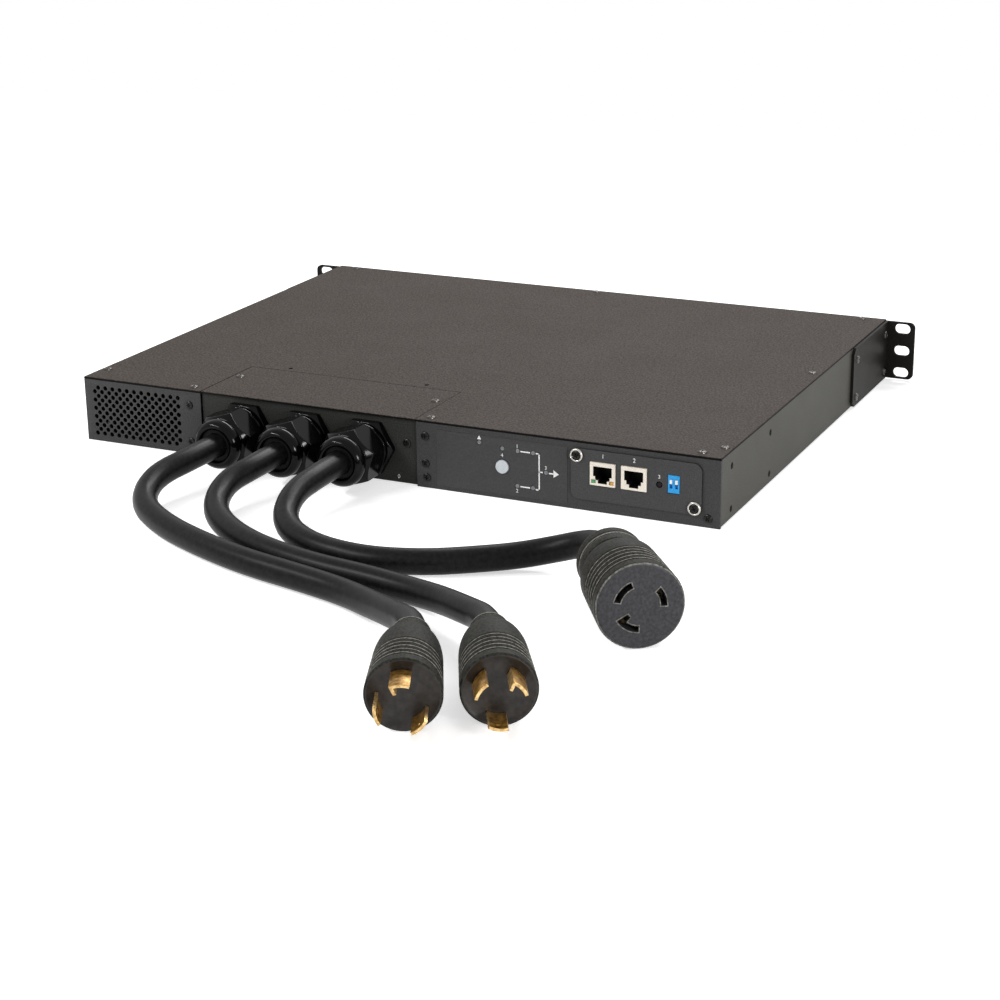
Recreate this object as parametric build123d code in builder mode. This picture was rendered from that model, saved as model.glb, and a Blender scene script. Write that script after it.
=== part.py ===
"""Rack static transfer switch: a one-unit rack box with two input cords and one load cord.

Frame: +Z up, the box stands on Z = 0. The cords leave through the side that faces -Y, and the rack ears
are at the far end, +Y. +X is to the right as seen from the cord side. The origin is under the middle of
the box with its cable glands. All sizes are in millimetres.
"""
import os
from math import cos, pi, radians, sin, tan

from build123d import *

os.makedirs("parts", exist_ok=True)

# Case: a folded tray, a flat lid, and two fascia panels screwed to the cord side
width = 440.0
depth = 345.0
height = 43.0
sheet = 1.2
lid_sheet = 1.2
fascia_sheet = 1.5
flange = 10.0
bend_radius = 1.5
fit_gap = 0.3
edge_break = 0.4

# Wiring bay under its own cover, between the two fascia panels
bay_left = -130.7
bay_right = 23.5
bay_depth = 63.2
relief_width = 1.2
relief_foot = 11.7
partition_setback = 12.0
window_gap = 13.0
window_sill = 3.5

# Cable glands for a 25 mm hole
gland_count = 3
gland_centre = -54.0
gland_pitch = 43.7
gland_z = 21.5
gland_reach = 38.0
gland_flats = 33.0
gland_thread_radius = 12.4
gland_hole_radius = 12.7
gland_collar = 5.5
gland_groove = 2.0
gland_hex_length = 20.0
gland_tail = 11.0
gland_bore_radius = 8.8
gland_mouth_radius = 10.2
gland_wall = 2.4
gland_dome_inset = 0.6
gland_dome_taper = 1.2
gland_lip = 3.0
gland_collar_turn = 30.0
gland_nut_turn = 45.0
gland_chamfer = 1.0
locknut_thickness = 5.0
seal_length = 10.0
seal_inset = 0.4

# Cords, plugs and the load connector
cord_radius = 7.5
cord_slack = 0.2
cord_grip = 10.0
cord_lead = 21.0
cord_run = 14.0
lead_radius = 2.2
lead_pitch = 5.2
plug_radius = 18.5
plug_length = 66.0
plug_rear_radius = 17.2
plug_shoulder = 14.0
connector_radius = 23.25
connector_length = 72.0
connector_rear_radius = 21.2
connector_rear = 52.0
connector_collar_radius = 18.5
connector_collar_front = 58.0
connector_shoulder = 8.0
connector_waist = 1.8
neck_radius = 10.0
neck_length = 6.0
shoulder_steps = 3
grip_band = 8.4
grip_depth = 1.0
grip_pitch = 4.5
grip_flank = 1.5
grip_rings = 5
grip_edge = 1.2
blade_length = 17.0
blade_thickness = 1.6
blade_angle = 44.0
blade_steps = 4
blade_circle = 12.2
blade_turns = (0.0, 100.0, 219.0)
slot_width = 2.9
slot_angle = 52.0
slot_depth = 14.0
contact_depth = 9.0
hook_length = 3.2

# Rack ears: with the case's width these give slots 465.1 apart and a span of 482.6
ear_thickness = 2.0
ear_end = 8.0
ear_corner = 4.0
slot_step = 15.875
ear_slot_length = 11.0
ear_slot_width = 7.0
slot_gap = 5.05
slot_edge = 3.25
slot_rim = 1.225

# Rounds that repeat are drawn with flat sides
screw_sides = 4
hex_sides = 6
small_sides = 6
head_sides = 8
inner_sides = 12
round_sides = 16
cord_sides = 6
corner_share = 0.45

# Screws and small holes
head_radius = 2.7
head_height = 1.1
head_taper = 28.0
shank_radius = 1.5
shank_length = 5.0
shank_slack = 0.15
side_hole_radius = 2.1
side_hole_pitch = 70.0
side_hole_low = 6.8
side_hole_high = 33.2
side_hole_near = 18.5
ear_hole_inset = 7.0
lid_screw_near = 20.0
lid_screw_left_inset = 8.6
lid_screw_right_inset = 7.5
lid_screw_corner = 14.0
lid_screw_far = 16.0
cover_screw_inset = 6.0
cover_screw_back = 39.0
spare_hole_left = 26.4
spare_hole_right = 27.5
spare_hole_back = 69.0
grille_screw_offsets = [(8.6, 32.7), (8.6, 8.3)]
control_screw_offsets = [(6.5, 33.0), (6.5, 15.6), (7.2, 6.6)]
corner_screw_offset = (7.4, 5.5)
wall_screw_offset = (6.8, 26.4)

# Air grille and far vent
grille_left = -212.2
grille_top = 36.4
grille_count = 12
grille_rows = 12
grille_pitch = 5.59
grille_row_step = 2.82
grille_hole_radius = 1.4
grille_sides = 4
vent_count = 16
vent_pitch = 9.0
vent_width = 3.4
vent_height = 24.0

# Controls on the right fascia
overlay_left = 37.6
overlay_right = 124.1
overlay_foot = 2.5
overlay_top = 38.0
overlay_film = 0.25
button_x = 81.6
button_z = 20.2
button_radius = 4.2
button_gap = 0.3
button_proud = 1.0
button_travel = 0.6
button_rim = 1.2
button_rim_thickness = 1.0
button_stem_radius = 2.1
led_places = [
    (66.5, 33.6),
    (81.7, 31.6),
    (91.8, 31.3),
    (101.9, 31.2),
    (91.5, 9.2),
    (101.7, 9.2),
    (110.2, 20.0),
]
led_radius = 1.4
led_proud = 0.3
control_board_setback = 9.0
board_thickness = 1.6
board_margin = 2.0
spacer_inset = 6.0
switch_size = 6.2
switch_depth = 3.6

# Network card
card_left = 126.8
card_right = 208.8
card_foot = 7.0
card_top = 38.3
card_corner = 5.0
card_sheet = 1.2
card_lap = 6.5
card_board_depth = 78.0
card_board_gap = 1.0
jack_places = [147.3, 167.0]
jack_width = 16.0
jack_height = 14.2
jack_depth = 15.0
jack_foot = 17.2
jack_wall = 0.5
jack_proud = 0.6
jack_recess = 0.3
cavity_width = 11.9
cavity_height = 8.4
cavity_depth = 11.0
cavity_lift = 3.4
notch_width = 6.2
notch_height = 2.4
contact_count = 8
contact_pitch = 1.02
contact_section = 0.45
contact_setback = 2.0
contact_drop = 1.4
light_width = 2.8
light_height = 2.2
light_depth = 4.0
light_margin = 0.4
reset_x = 182.6
reset_z = 22.6
reset_radius = 1.5
reset_hole_radius = 2.0
reset_recess = 0.5
reset_travel = 0.5
reset_length = 4.6
dip_x = 191.5
dip_width = 7.2
dip_top = 29.3
dip_foot = 18.5
dip_depth = 8.0
dip_recess = 0.3
dip_pitch = 3.4
slider_width = 1.5
slider_height = 2.4
slider_travel = 2.8
slider_depth = 1.4
slider_proud = 0.4
slider_gap = 0.15
collar_radius = 4.25
collar_height = 1.4
card_screw_radius = 2.4
card_screw_places = [(130.6, 34.2), (204.6, 11.1)]

# Inside the box
terminal_setback = 34.0
terminal_width = 132.0
terminal_depth = 22.0
terminal_height = 26.0
terminal_ways = 9
terminal_rim = 5.0
terminal_pocket = 6.0
terminal_web = 2.9
main_board_lift = 8.0
main_board_gap = 14.0
main_board_side_gap = 18.8
main_board_far_gap = 22.6
standoff_inset = 6.0
standoff_radius = 3.0
sink_width = 112.0
sink_gap = 6.0
sink_side_gap = 6.8
sink_far_gap = 18.6
sink_base = 5.0
fin_count = 8
fin_height = 28.0
fin_thickness = 2.0
fin_pitch = 8.0
module_length = 46.0
module_gap = 5.0
module_width = 34.0
module_height = 16.0
module_inset = 16.0
module_margin = 4.0
transformer_size = 42.0
transformer_height = 28.0
transformer_inset = 16.0
transformer_corner = 3.0

# Places worked out from the sizes above
fascia_y = (gland_reach - depth) / 2
cord_start = gland_reach - cord_grip
wall_y = fascia_y + fascia_sheet
far_y = fascia_y + depth
lid_z = height - lid_sheet
fascia_top = lid_z - fit_gap
half_width = width / 2
gland_places = [gland_centre + (i - (gland_count - 1) / 2) * gland_pitch for i in range(gland_count)]
side_rows = [fascia_y + side_hole_near, fascia_y + side_hole_near + side_hole_pitch]
ear_rows = [far_y - ear_hole_inset - side_hole_pitch, far_y - ear_hole_inset]
side_levels = [side_hole_low, side_hole_high]
card_face_y = fascia_y - card_sheet
jack_face_y = card_face_y - jack_proud
control_board_y = fascia_y + control_board_setback
switch_face_y = control_board_y - switch_depth
card_board_z = jack_foot - board_thickness
ear_length = ear_hole_inset + side_hole_pitch + ear_end
ear_height = 2 * slot_step + ear_slot_width + 2 * slot_rim
slot_offset = ear_thickness + slot_gap + ear_slot_length / 2
ear_reach = slot_offset + ear_slot_length / 2 + slot_edge

# Screw places, as (x, y) on top, (x, z) on the cord side and (y, z) on the sides
near_flange_y = wall_y + flange / 2
far_flange_y = far_y - flange / 2
lid_screw_places = [
    (-half_width + flange / 2, fascia_y + lid_screw_near),
    (half_width - flange / 2, fascia_y + lid_screw_near),
    (bay_left - lid_screw_left_inset, near_flange_y),
    (bay_right + lid_screw_right_inset, near_flange_y),
    (half_width - lid_screw_corner, near_flange_y),
    (-half_width + lid_screw_far, far_flange_y),
    (0.0, far_flange_y),
    (half_width - lid_screw_far, far_flange_y),
]
cover_screw_places = [
    (bay_left + cover_screw_inset, fascia_y + cover_screw_back),
    (bay_right - cover_screw_inset, fascia_y + cover_screw_back),
]
lid_spare_holes = [
    (bay_left + spare_hole_left, fascia_y + spare_hole_back),
    (bay_right - spare_hole_right, fascia_y + spare_hole_back),
]
grille_screw_places = [(bay_left - inset, z) for inset, z in grille_screw_offsets]
control_screw_places = [(bay_right + inset, z) for inset, z in control_screw_offsets]
control_screw_places.append((half_width - corner_screw_offset[0], corner_screw_offset[1]))
gland_wall_screw = (bay_right - wall_screw_offset[0], wall_screw_offset[1])
ear_screw_places = [(y, z) for y in ear_rows for z in side_levels]

# Cord routes between gland and plug, as (x, distance out from the fascia, z)
input_route_1 = [
    (-107.0, 91.0, 17.0),
    (-98.0, 118.0, 10.0),
    (-70.0, 138.0, 7.5),
    (-34.0, 156.0, 7.5),
    (6.0, 171.0, 7.5),
    (46.0, 180.0, 7.5),
    (77.0, 188.5, 7.5),
    (104.0, 204.5, 10.0),
    (126.0, 221.5, 14.5),
]
input_route_2 = [
    (-61.5, 83.5, 17.0),
    (-54.0, 109.0, 10.0),
    (-30.0, 131.0, 7.5),
    (4.0, 150.0, 7.5),
    (44.0, 162.0, 7.5),
    (77.0, 166.0, 7.5),
    (107.0, 172.5, 7.5),
    (133.0, 184.5, 10.5),
    (156.0, 202.0, 15.0),
]
load_route = [
    (-13.0, 88.0, 18.0),
    (-4.0, 114.0, 10.0),
    (24.0, 134.0, 7.5),
    (62.0, 142.0, 7.5),
    (96.0, 133.0, 7.5),
    (120.0, 117.5, 7.5),
    (140.0, 105.5, 8.5),
    (158.5, 98.5, 12.5),
    (175.9, 98.8, 18.5),
]

# Plug faces, as (x, distance out from the fascia), with the way they point and the turn of the hooked
# blade in degrees; a connector's slots are the mirror image of a plug's blades
input_plugs = [
    {"face": (178.8, 314.4), "heading": -65.6, "roll": 93.0, "radius": plug_radius, "hand": 1},
    {"face": (216.7, 291.5), "heading": -60.8, "roll": 43.0, "radius": plug_radius, "hand": 1},
]
load_connector = {
    "face": (242.3, 181.2),
    "heading": -54.5,
    "roll": 238.5,
    "radius": connector_radius,
    "hand": -1,
}


def finish(piece, name):
    """Label a finished piece and write its STEP file."""
    piece.label = name
    export_step(piece, f"parts/{name}.step")


def facing(origin, heading):
    """A plane square to a level heading: X to the right as seen from in front, Y up, Z outwards."""
    outwards = Vector(cos(radians(heading)), sin(radians(heading)), 0)
    return Plane(origin=origin, x_dir=(-outwards.Y, outwards.X, 0), z_dir=outwards)


def stacked(plane, rings, sides=round_sides, turn=0.0, mode=Mode.ADD):
    """A many-sided turned form through rings given as (radius of the flats, distance out), in order."""
    half = pi / sides
    angles = [radians(turn) + (2 * side + 1) * half for side in range(sides)]
    levels = []
    for radius, out in rings:
        reach = radius / cos(half)
        levels.append([plane.from_local_coords((reach * cos(a), reach * sin(a), out)) for a in angles])
    outlines = [levels[0], levels[-1]]
    for near, far in zip(levels, levels[1:]):
        for side in range(sides):
            following = (side + 1) % sides
            outlines.append([near[side], near[following], far[following], far[side]])
    add(Solid(Shell([Face(Wire.make_polygon(corners)) for corners in outlines])), mode=mode)


def block(x_low, x_high, y_low, y_high, z_low, z_high, mode=Mode.ADD):
    """A box between two corners, inside the part that is being built."""
    centre = ((x_low + x_high) / 2, (y_low + y_high) / 2, (z_low + z_high) / 2)
    with Locations(centre):
        return Box(x_high - x_low, y_high - y_low, z_high - z_low, mode=mode)


def top_face(z=height):
    """A level plane that looks up, for places given as (x, y)."""
    return Plane.XY.offset(z)


def cord_face(y=fascia_y):
    """An upright plane that looks out on the cord side, for places given as (x, z)."""
    return facing((0, y, 0), -90)


def flank_face(x):
    """An upright plane on a side of the box that looks away from it."""
    return facing((x, 0, 0), 0 if x > 0 else 180)


def flank_places(places, x):
    """Places given as (y, z), as the plane of that side counts them."""
    return [(y if x > 0 else -y, z) for y, z in places]


def flat_sided(radius, sides, mode=Mode.ADD):
    """A regular polygon by the radius of its flats, with one flat square to the sketch's x axis."""
    RegularPolygon(radius, sides, major_radius=False, rotation=180 / sides, mode=mode)


def holes(plane, places, radius, through, sides=small_sides):
    """Many-sided holes that a round of this radius passes, cut into the part that is being built."""
    with BuildSketch(plane) as openings:
        with Locations(*places):
            flat_sided(radius, sides)
    extrude(openings.sketch, amount=-through, mode=Mode.SUBTRACT)


def screw_holes(plane, places, through):
    """Holes that clear the screws' shanks."""
    holes(plane, places, shank_radius + shank_slack, through, screw_sides)


def screws(seats, name):
    """Pan-head screws: a tapered head that sits on each place, and a shank that goes in behind it."""
    with BuildPart() as group:
        for plane, places in seats:
            with BuildSketch(plane):
                with Locations(*places):
                    RegularPolygon(head_radius, head_sides)
            extrude(amount=head_height, taper=head_taper)
            with BuildSketch(plane):
                with Locations(*places):
                    flat_sided(shank_radius, screw_sides)
            extrude(amount=-shank_length)
    finish(group.part, name)


# Tray: floor, four walls and top flanges folded from one sheet
with BuildPart() as tray:
    block(-half_width, half_width, wall_y, far_y, 0, lid_z)
    folds = tray.edges().group_by(Axis.Z)[0]
    fillet(folds, bend_radius)
    block(-half_width + sheet, half_width - sheet, wall_y + sheet, far_y - sheet, sheet, lid_z - sheet,
          mode=Mode.SUBTRACT)
    block(-half_width + flange, half_width - flange, wall_y + flange, far_y - flange, lid_z - sheet, lid_z,
          mode=Mode.SUBTRACT)
    # Windows behind the grille and behind the controls
    window_top = lid_z - window_sill
    block(-half_width + flange / 2, bay_left - window_gap, wall_y, wall_y + sheet, window_sill, window_top,
          mode=Mode.SUBTRACT)
    block(bay_right + window_gap, half_width - window_gap, wall_y, wall_y + sheet, window_sill, window_top,
          mode=Mode.SUBTRACT)
    # Relief cuts that free the wall and flange of the wiring bay
    for edge in (bay_left - relief_width / 2, bay_right - relief_width / 2):
        block(edge, edge + relief_width, wall_y, wall_y + flange, relief_foot, lid_z, mode=Mode.SUBTRACT)
    holes(cord_face(wall_y), [(x, gland_z) for x in gland_places], gland_hole_radius, sheet, inner_sides)
    # Upright air slots in the far wall
    with BuildSketch(facing((0, far_y, height / 2), 90)):
        with GridLocations(vent_pitch, 0, vent_count, 1):
            Rectangle(vent_width, vent_height)
    extrude(amount=-sheet, mode=Mode.SUBTRACT)
    # Two sets of ear holes in each side: open near the cords, filled by the ear screws at the far end
    side_hole_places = [(y, z) for y in side_rows for z in side_levels]
    for x in (-half_width, half_width):
        with BuildSketch(flank_face(x)):
            with Locations(*flank_places(side_hole_places, x)):
                Circle(side_hole_radius)
        extrude(amount=-sheet, mode=Mode.SUBTRACT)
        screw_holes(flank_face(x), flank_places(ear_screw_places, x), sheet)
    screw_holes(top_face(lid_z), lid_screw_places, sheet)
    screw_holes(cord_face(wall_y), grille_screw_places + control_screw_places + [gland_wall_screw], sheet)
finish(tray.part, "chassis_tray")

# Lid: a flat sheet with a notch over the wiring bay
with BuildPart() as lid:
    block(-half_width, half_width, fascia_y, far_y, lid_z, height)
    chamfer(lid.faces().sort_by(Axis.Z)[-1].edges(), edge_break)
    block(bay_left, bay_right, fascia_y, fascia_y + bay_depth, lid_z, height, mode=Mode.SUBTRACT)
    screw_holes(top_face(), lid_screw_places, lid_sheet)
    holes(top_face(), lid_spare_holes, shank_radius, lid_sheet)
finish(lid.part, "top_lid")

# Cover over the wiring bay, flush with the lid
with BuildPart() as cover:
    block(bay_left + fit_gap, bay_right - fit_gap, fascia_y, fascia_y + bay_depth - fit_gap, lid_z, height)
    chamfer(cover.faces().sort_by(Axis.Z)[-1].edges(), edge_break)
    screw_holes(top_face(), cover_screw_places, lid_sheet)
finish(cover.part, "wiring_cover")

# Bay partition: two cheeks and a back wall, with flanges that carry the cover's and the lid's edges
partition_front = wall_y + flange + fit_gap
partition_back = fascia_y + bay_depth + partition_setback
with BuildPart() as partition:
    block(bay_left - sheet, bay_right + sheet, partition_front, partition_back, sheet, lid_z)
    block(bay_left, bay_right, partition_front, partition_back - sheet, sheet, lid_z - sheet,
          mode=Mode.SUBTRACT)
    block(bay_left + flange, bay_right - flange, partition_front, partition_back - flange - partition_setback,
          lid_z - sheet, lid_z, mode=Mode.SUBTRACT)
    screw_holes(top_face(lid_z), cover_screw_places, sheet)
    holes(top_face(lid_z), lid_spare_holes, shank_radius, sheet)
finish(partition.part, "bay_partition")

# Left fascia with the staggered air grille
grille_places = [
    (grille_left + (column + (row % 2 == 0) / 2) * grille_pitch, grille_top - row * grille_row_step)
    for row in range(grille_rows)
    for column in range(grille_count)
]
with BuildPart() as grille:
    block(-half_width, bay_left, fascia_y, wall_y, 0, fascia_top)
    holes(cord_face(), grille_places, grille_hole_radius, fascia_sheet, grille_sides)
    screw_holes(cord_face(), grille_screw_places, fascia_sheet)
finish(grille.part, "grille_panel")

# Right fascia with the card window, the button hole and the light holes
with BuildPart() as control:
    block(bay_right + fit_gap, half_width, fascia_y, wall_y, 0, fascia_top)
    block(card_left + card_lap, card_right - card_lap, fascia_y, wall_y, card_foot + card_lap,
          card_top - card_lap / 2, mode=Mode.SUBTRACT)
    holes(cord_face(), [(button_x, button_z)], button_radius + button_gap, fascia_sheet, round_sides)
    holes(cord_face(), led_places, led_radius + fit_gap, fascia_sheet)
    screw_holes(cord_face(), control_screw_places + card_screw_places, fascia_sheet)
finish(control.part, "control_panel")

# Thin printed film over the lights and the button
with BuildPart() as overlay:
    block(overlay_left, overlay_right, fascia_y - overlay_film, fascia_y, overlay_foot, overlay_top)
    film_face = cord_face(fascia_y - overlay_film)
    holes(film_face, [(button_x, button_z)], button_radius + button_gap, overlay_film, round_sides)
    holes(film_face, led_places, led_radius + fit_gap, overlay_film)
finish(overlay.part, "panel_overlay")

# Rack ears: an angle with a side plate on the tray and a slotted flange that looks at the rack
for side, name in ((-1, "rack_ear_left"), (1, "rack_ear_right")):
    wall_x = side * half_width
    plate_x = side * (half_width + ear_thickness)
    tip_x = side * (half_width + ear_reach)
    ear_foot = (height - ear_height) / 2
    ear_top = ear_foot + ear_height
    with BuildPart() as ear:
        block(min(wall_x, plate_x), max(wall_x, plate_x), far_y - ear_length, far_y, ear_foot, ear_top)
        block(min(wall_x, tip_x), max(wall_x, tip_x), far_y - ear_thickness, far_y, ear_foot, ear_top)
        tips = ear.edges().filter_by(Axis.Y).group_by(Axis.X)[-1 if side > 0 else 0]
        fillet(tips, ear_corner)
        ends = ear.edges().filter_by(Axis.X).group_by(Axis.Y)[0]
        chamfer(ends, ear_corner)
        with BuildSketch(facing((side * (half_width + slot_offset), far_y, height / 2), 90)):
            with GridLocations(0, slot_step, 1, 3):
                SlotOverall(ear_slot_length, ear_slot_width)
        extrude(amount=-ear_thickness, mode=Mode.SUBTRACT)
        screw_holes(flank_face(plate_x), flank_places(ear_screw_places, plate_x), ear_thickness)
    finish(ear.part, name)

# Screws, in groups by what they hold
ear_faces = [half_width + ear_thickness, -half_width - ear_thickness]
screws([(top_face(), lid_screw_places)], "lid_screws")
screws([(top_face(), cover_screw_places)], "cover_screws")
screws([(cord_face(), grille_screw_places + control_screw_places), (cord_face(wall_y), [gland_wall_screw])],
       "panel_screws")
screws([(flank_face(x), flank_places(ear_screw_places, x)) for x in ear_faces], "ear_screws")

# Cable glands: a locknut clamps each body to the wall, and its dome nut squeezes a rubber seal on the cord
nut_start = gland_collar + gland_groove
nut_shoulder = nut_start + gland_hex_length
gland_face = gland_reach + fascia_sheet
seal_end = gland_face - gland_wall
seal_start = seal_end - seal_length
body_back = -sheet - gland_tail
flat_radius = gland_flats / 2
collar_rings = [
    (flat_radius, 0),
    (flat_radius, gland_collar - gland_chamfer),
    (flat_radius - gland_chamfer, gland_collar),
]
hex_rings = [
    (flat_radius - gland_chamfer, nut_start),
    (flat_radius, nut_start + gland_chamfer),
    (flat_radius, nut_shoulder - gland_chamfer),
    (flat_radius - gland_chamfer, nut_shoulder),
]
dome_radius = flat_radius - gland_dome_inset
dome_rings = [
    (dome_radius, nut_shoulder),
    (dome_radius - gland_dome_taper, gland_face - gland_lip),
    (dome_radius - gland_dome_taper - gland_lip, gland_face),
]
for number, x in enumerate(gland_places, start=1):
    seat = facing((x, wall_y, gland_z), -90)
    with BuildPart() as body:
        stacked(seat, collar_rings, hex_sides, gland_collar_turn)
        stacked(seat, [(gland_thread_radius, body_back), (gland_thread_radius, seal_start)], inner_sides)
        bore = [(gland_bore_radius, body_back), (gland_bore_radius, seal_start)]
        stacked(seat, bore, inner_sides, mode=Mode.SUBTRACT)
    finish(body.part, f"gland_body_{number}")

    with BuildPart() as nut:
        stacked(seat, hex_rings, hex_sides, gland_nut_turn)
        stacked(seat, dome_rings)
        thread_bore = gland_thread_radius + fit_gap
        stacked(seat, [(thread_bore, nut_start), (thread_bore, seal_end)], inner_sides, mode=Mode.SUBTRACT)
        stacked(seat, [(gland_mouth_radius, seal_end), (gland_mouth_radius, gland_face)], mode=Mode.SUBTRACT)
    finish(nut.part, f"gland_nut_{number}")

    seal_radius = gland_thread_radius - seal_inset
    with BuildPart() as seal:
        stacked(seat, [(seal_radius, seal_start), (seal_radius, seal_end)], inner_sides)
        holes(seat.offset(seal_end), [(0, 0)], cord_radius + cord_slack, seal_length, inner_sides)
    finish(seal.part, f"gland_seal_{number}")

with BuildPart() as locknuts:
    for x in gland_places:
        inner_face = facing((x, wall_y + sheet, gland_z), -90)
        with BuildSketch(inner_face):
            flat_sided(flat_radius, hex_sides)
            flat_sided(gland_thread_radius + fit_gap, inner_sides, Mode.SUBTRACT)
        extrude(amount=-locknut_thickness)
finish(locknuts.part, "gland_locknuts")


def route_points(gland_x, route, plug, length):
    """A cord's points in the part's frame: straight from its gland, along a route, straight into its plug."""
    face_x, face_out = plug["face"]
    heading = radians(plug["heading"])
    points = [(gland_x, cord_start, gland_z), (gland_x, gland_reach + cord_lead, gland_z)] + route
    for back in (length + neck_length + cord_run, length + neck_length):
        points.append((face_x - back * cos(heading), face_out + back * sin(heading), plug["radius"]))
    return [Vector(x, fascia_y - out, z) for x, out, z in points]


def corner_radii(points):
    """The largest radius that each corner's two runs leave room for."""
    radii = []
    for before, corner, after in zip(points, points[1:], points[2:]):
        arriving = corner - before
        leaving = after - corner
        shorter = min(arriving.length, leaving.length)
        radii.append(corner_share * shorter / tan(radians(arriving.get_angle(leaving)) / 2))
    return radii


def cord_tube(points, name):
    """A round cord along straight runs joined by tangent arcs."""
    radii = corner_radii(points)
    with BuildPart() as cord:
        with BuildLine() as path:
            FilletPolyline(*points, radius=radii)
        with BuildSketch(Plane(origin=points[0], z_dir=points[1] - points[0])) as section:
            RegularPolygon(cord_radius, cord_sides)
        sweep(path=path.wires()[0])
    length = path.wires()[0].length
    share = cord.part.volume / (section.sketch.area * length)
    print(name, "length", round(length, 1), "volume share", round(share, 4), "tightest", round(min(radii)))
    finish(cord.part, name)


cord_tube(route_points(gland_places[0], input_route_1, input_plugs[0], plug_length), "input_cord_1")
cord_tube(route_points(gland_places[1], input_route_2, input_plugs[1], plug_length), "input_cord_2")
cord_tube(route_points(gland_places[2], load_route, load_connector, connector_length), "load_cord")


def neck_rings(length, radius, shoulder):
    """A plug's neck, and the rounded shoulder that widens from it to a radius."""
    root = neck_radius + grip_edge
    rings = [(neck_radius, -length - neck_length), (neck_radius, -length - grip_edge)]
    for step in range(shoulder_steps + 1):
        angle = pi / 2 * step / shoulder_steps
        rings.append((root + (radius - root) * sin(angle), -length + shoulder * (1 - cos(angle))))
    return rings


def ringed_grip(radius, rear_radius, rear):
    """A plug's grip from behind its last ring to its face: a slight taper with rings, then a plain band."""
    rings = []
    for ring in reversed(range(grip_rings)):
        start = grip_band + ring * grip_pitch
        outer = radius + (rear_radius - radius) * start / rear
        rings += [(outer - grip_depth, -start - grip_flank), (outer, -start)]
    return rings + [(radius, -grip_edge), (radius - grip_edge, 0)]


plug_rings = neck_rings(plug_length, plug_rear_radius, plug_shoulder)
plug_rings += ringed_grip(plug_radius, plug_rear_radius, plug_length - plug_shoulder)
connector_rings = neck_rings(connector_length, connector_collar_radius, connector_shoulder)
connector_rings += [
    (connector_collar_radius, -connector_collar_front),
    (connector_collar_radius - connector_waist, -connector_collar_front + connector_waist),
    (connector_rear_radius, -connector_rear),
]
connector_rings += ringed_grip(connector_radius, connector_rear_radius, connector_rear)


def blade_outline(thickness, spread, turn, hand, hook):
    """One curved blade or slot on the blade circle; the hooked one has a foot turned inwards at its end."""
    half = radians(spread) / 2
    outer = blade_circle + thickness / 2
    inner = blade_circle - thickness / 2
    foot = inner - hook_length
    heel = half - thickness / inner if hook else half
    steps = [step / blade_steps for step in range(blade_steps + 1)]
    corners = [(outer, -half + 2 * half * share) for share in steps]
    if hook:
        corners += [(foot, half), (foot, half - thickness / foot)]
    corners += [(inner, heel - (heel + half) * share) for share in steps]
    angles = [(radius, radians(turn) + hand * angle) for radius, angle in corners]
    return [(radius * cos(angle), radius * sin(angle)) for radius, angle in angles]


def plug_face(plug):
    """The flat face of a plug that lies on the floor, looking the way it points."""
    x, out = plug["face"]
    return facing((x, fascia_y - out, plug["radius"]), plug["heading"])


def blade_solids(plug, thickness, spread, start, length, mode=Mode.ADD):
    """Three curved pieces square to a plug's face; the first one has the turned-in foot."""
    hand = plug["hand"]
    with BuildSketch(plug_face(plug).offset(start)) as shapes:
        for way, turn in enumerate(blade_turns):
            outline = blade_outline(thickness, spread, plug["roll"] + hand * turn, hand, way == 0)
            with BuildLine():
                Polyline(*outline, close=True)
            make_face()
    extrude(shapes.sketch, amount=length, mode=mode)


for number, plug in enumerate(input_plugs, start=1):
    with BuildPart() as grip:
        stacked(plug_face(plug), plug_rings)
    finish(grip.part, f"input_plug_{number}")
    with BuildPart() as blades:
        blade_solids(plug, blade_thickness, blade_angle, 0, blade_length)
    finish(blades.part, f"input_blades_{number}")

with BuildPart() as connector:
    stacked(plug_face(load_connector), connector_rings)
    blade_solids(load_connector, slot_width, slot_angle, 0, -slot_depth, mode=Mode.SUBTRACT)
finish(connector.part, "load_connector")
with BuildPart() as contacts:
    blade_solids(load_connector, slot_width, slot_angle, -slot_depth, slot_depth - contact_depth)
finish(contacts.part, "load_contacts")

# Lights: round lenses that stand on the control board and reach through the fascia
with BuildPart() as leds:
    with BuildSketch(cord_face(control_board_y)):
        with Locations(*led_places):
            RegularPolygon(led_radius, small_sides)
    extrude(amount=control_board_setback + overlay_film + led_proud)
finish(leds.part, "status_lights")

with BuildPart() as board:
    block(overlay_left + board_margin, overlay_right - board_margin,
          control_board_y, control_board_y + board_thickness,
          overlay_foot + board_margin, overlay_top - board_margin)
finish(board.part, "control_board")

spacer_columns = (overlay_left + spacer_inset, overlay_right - spacer_inset)
spacer_levels = (overlay_foot + spacer_inset, overlay_top - spacer_inset)
spacer_places = [(x, z) for x in spacer_columns for z in spacer_levels]
with BuildPart() as spacers:
    with BuildSketch(cord_face(control_board_y)):
        with Locations(*spacer_places):
            RegularPolygon(standoff_radius, small_sides)
    extrude(amount=control_board_setback - fascia_sheet)
finish(spacers.part, "board_spacers")

# Test button: a round cap with a rim that keeps it behind the fascia
button_seat = facing((button_x, fascia_y, button_z), -90)
button_face = overlay_film + button_proud
rim_face = -fascia_sheet - button_gap
rim_back = rim_face - button_rim_thickness
stem_back = fascia_y - switch_face_y + button_travel + fit_gap / 2
with BuildPart() as button:
    stacked(button_seat, [(button_radius, rim_face), (button_radius, button_face)])
    chamfer(button.faces().sort_by(Axis.Y)[0].edges(), edge_break)
    stacked(button_seat, [(button_radius + button_rim, rim_back), (button_radius + button_rim, rim_face)])
    stacked(button_seat, [(button_stem_radius, stem_back), (button_stem_radius, rim_back)], small_sides)
finish(button.part, "test_button")

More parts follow.
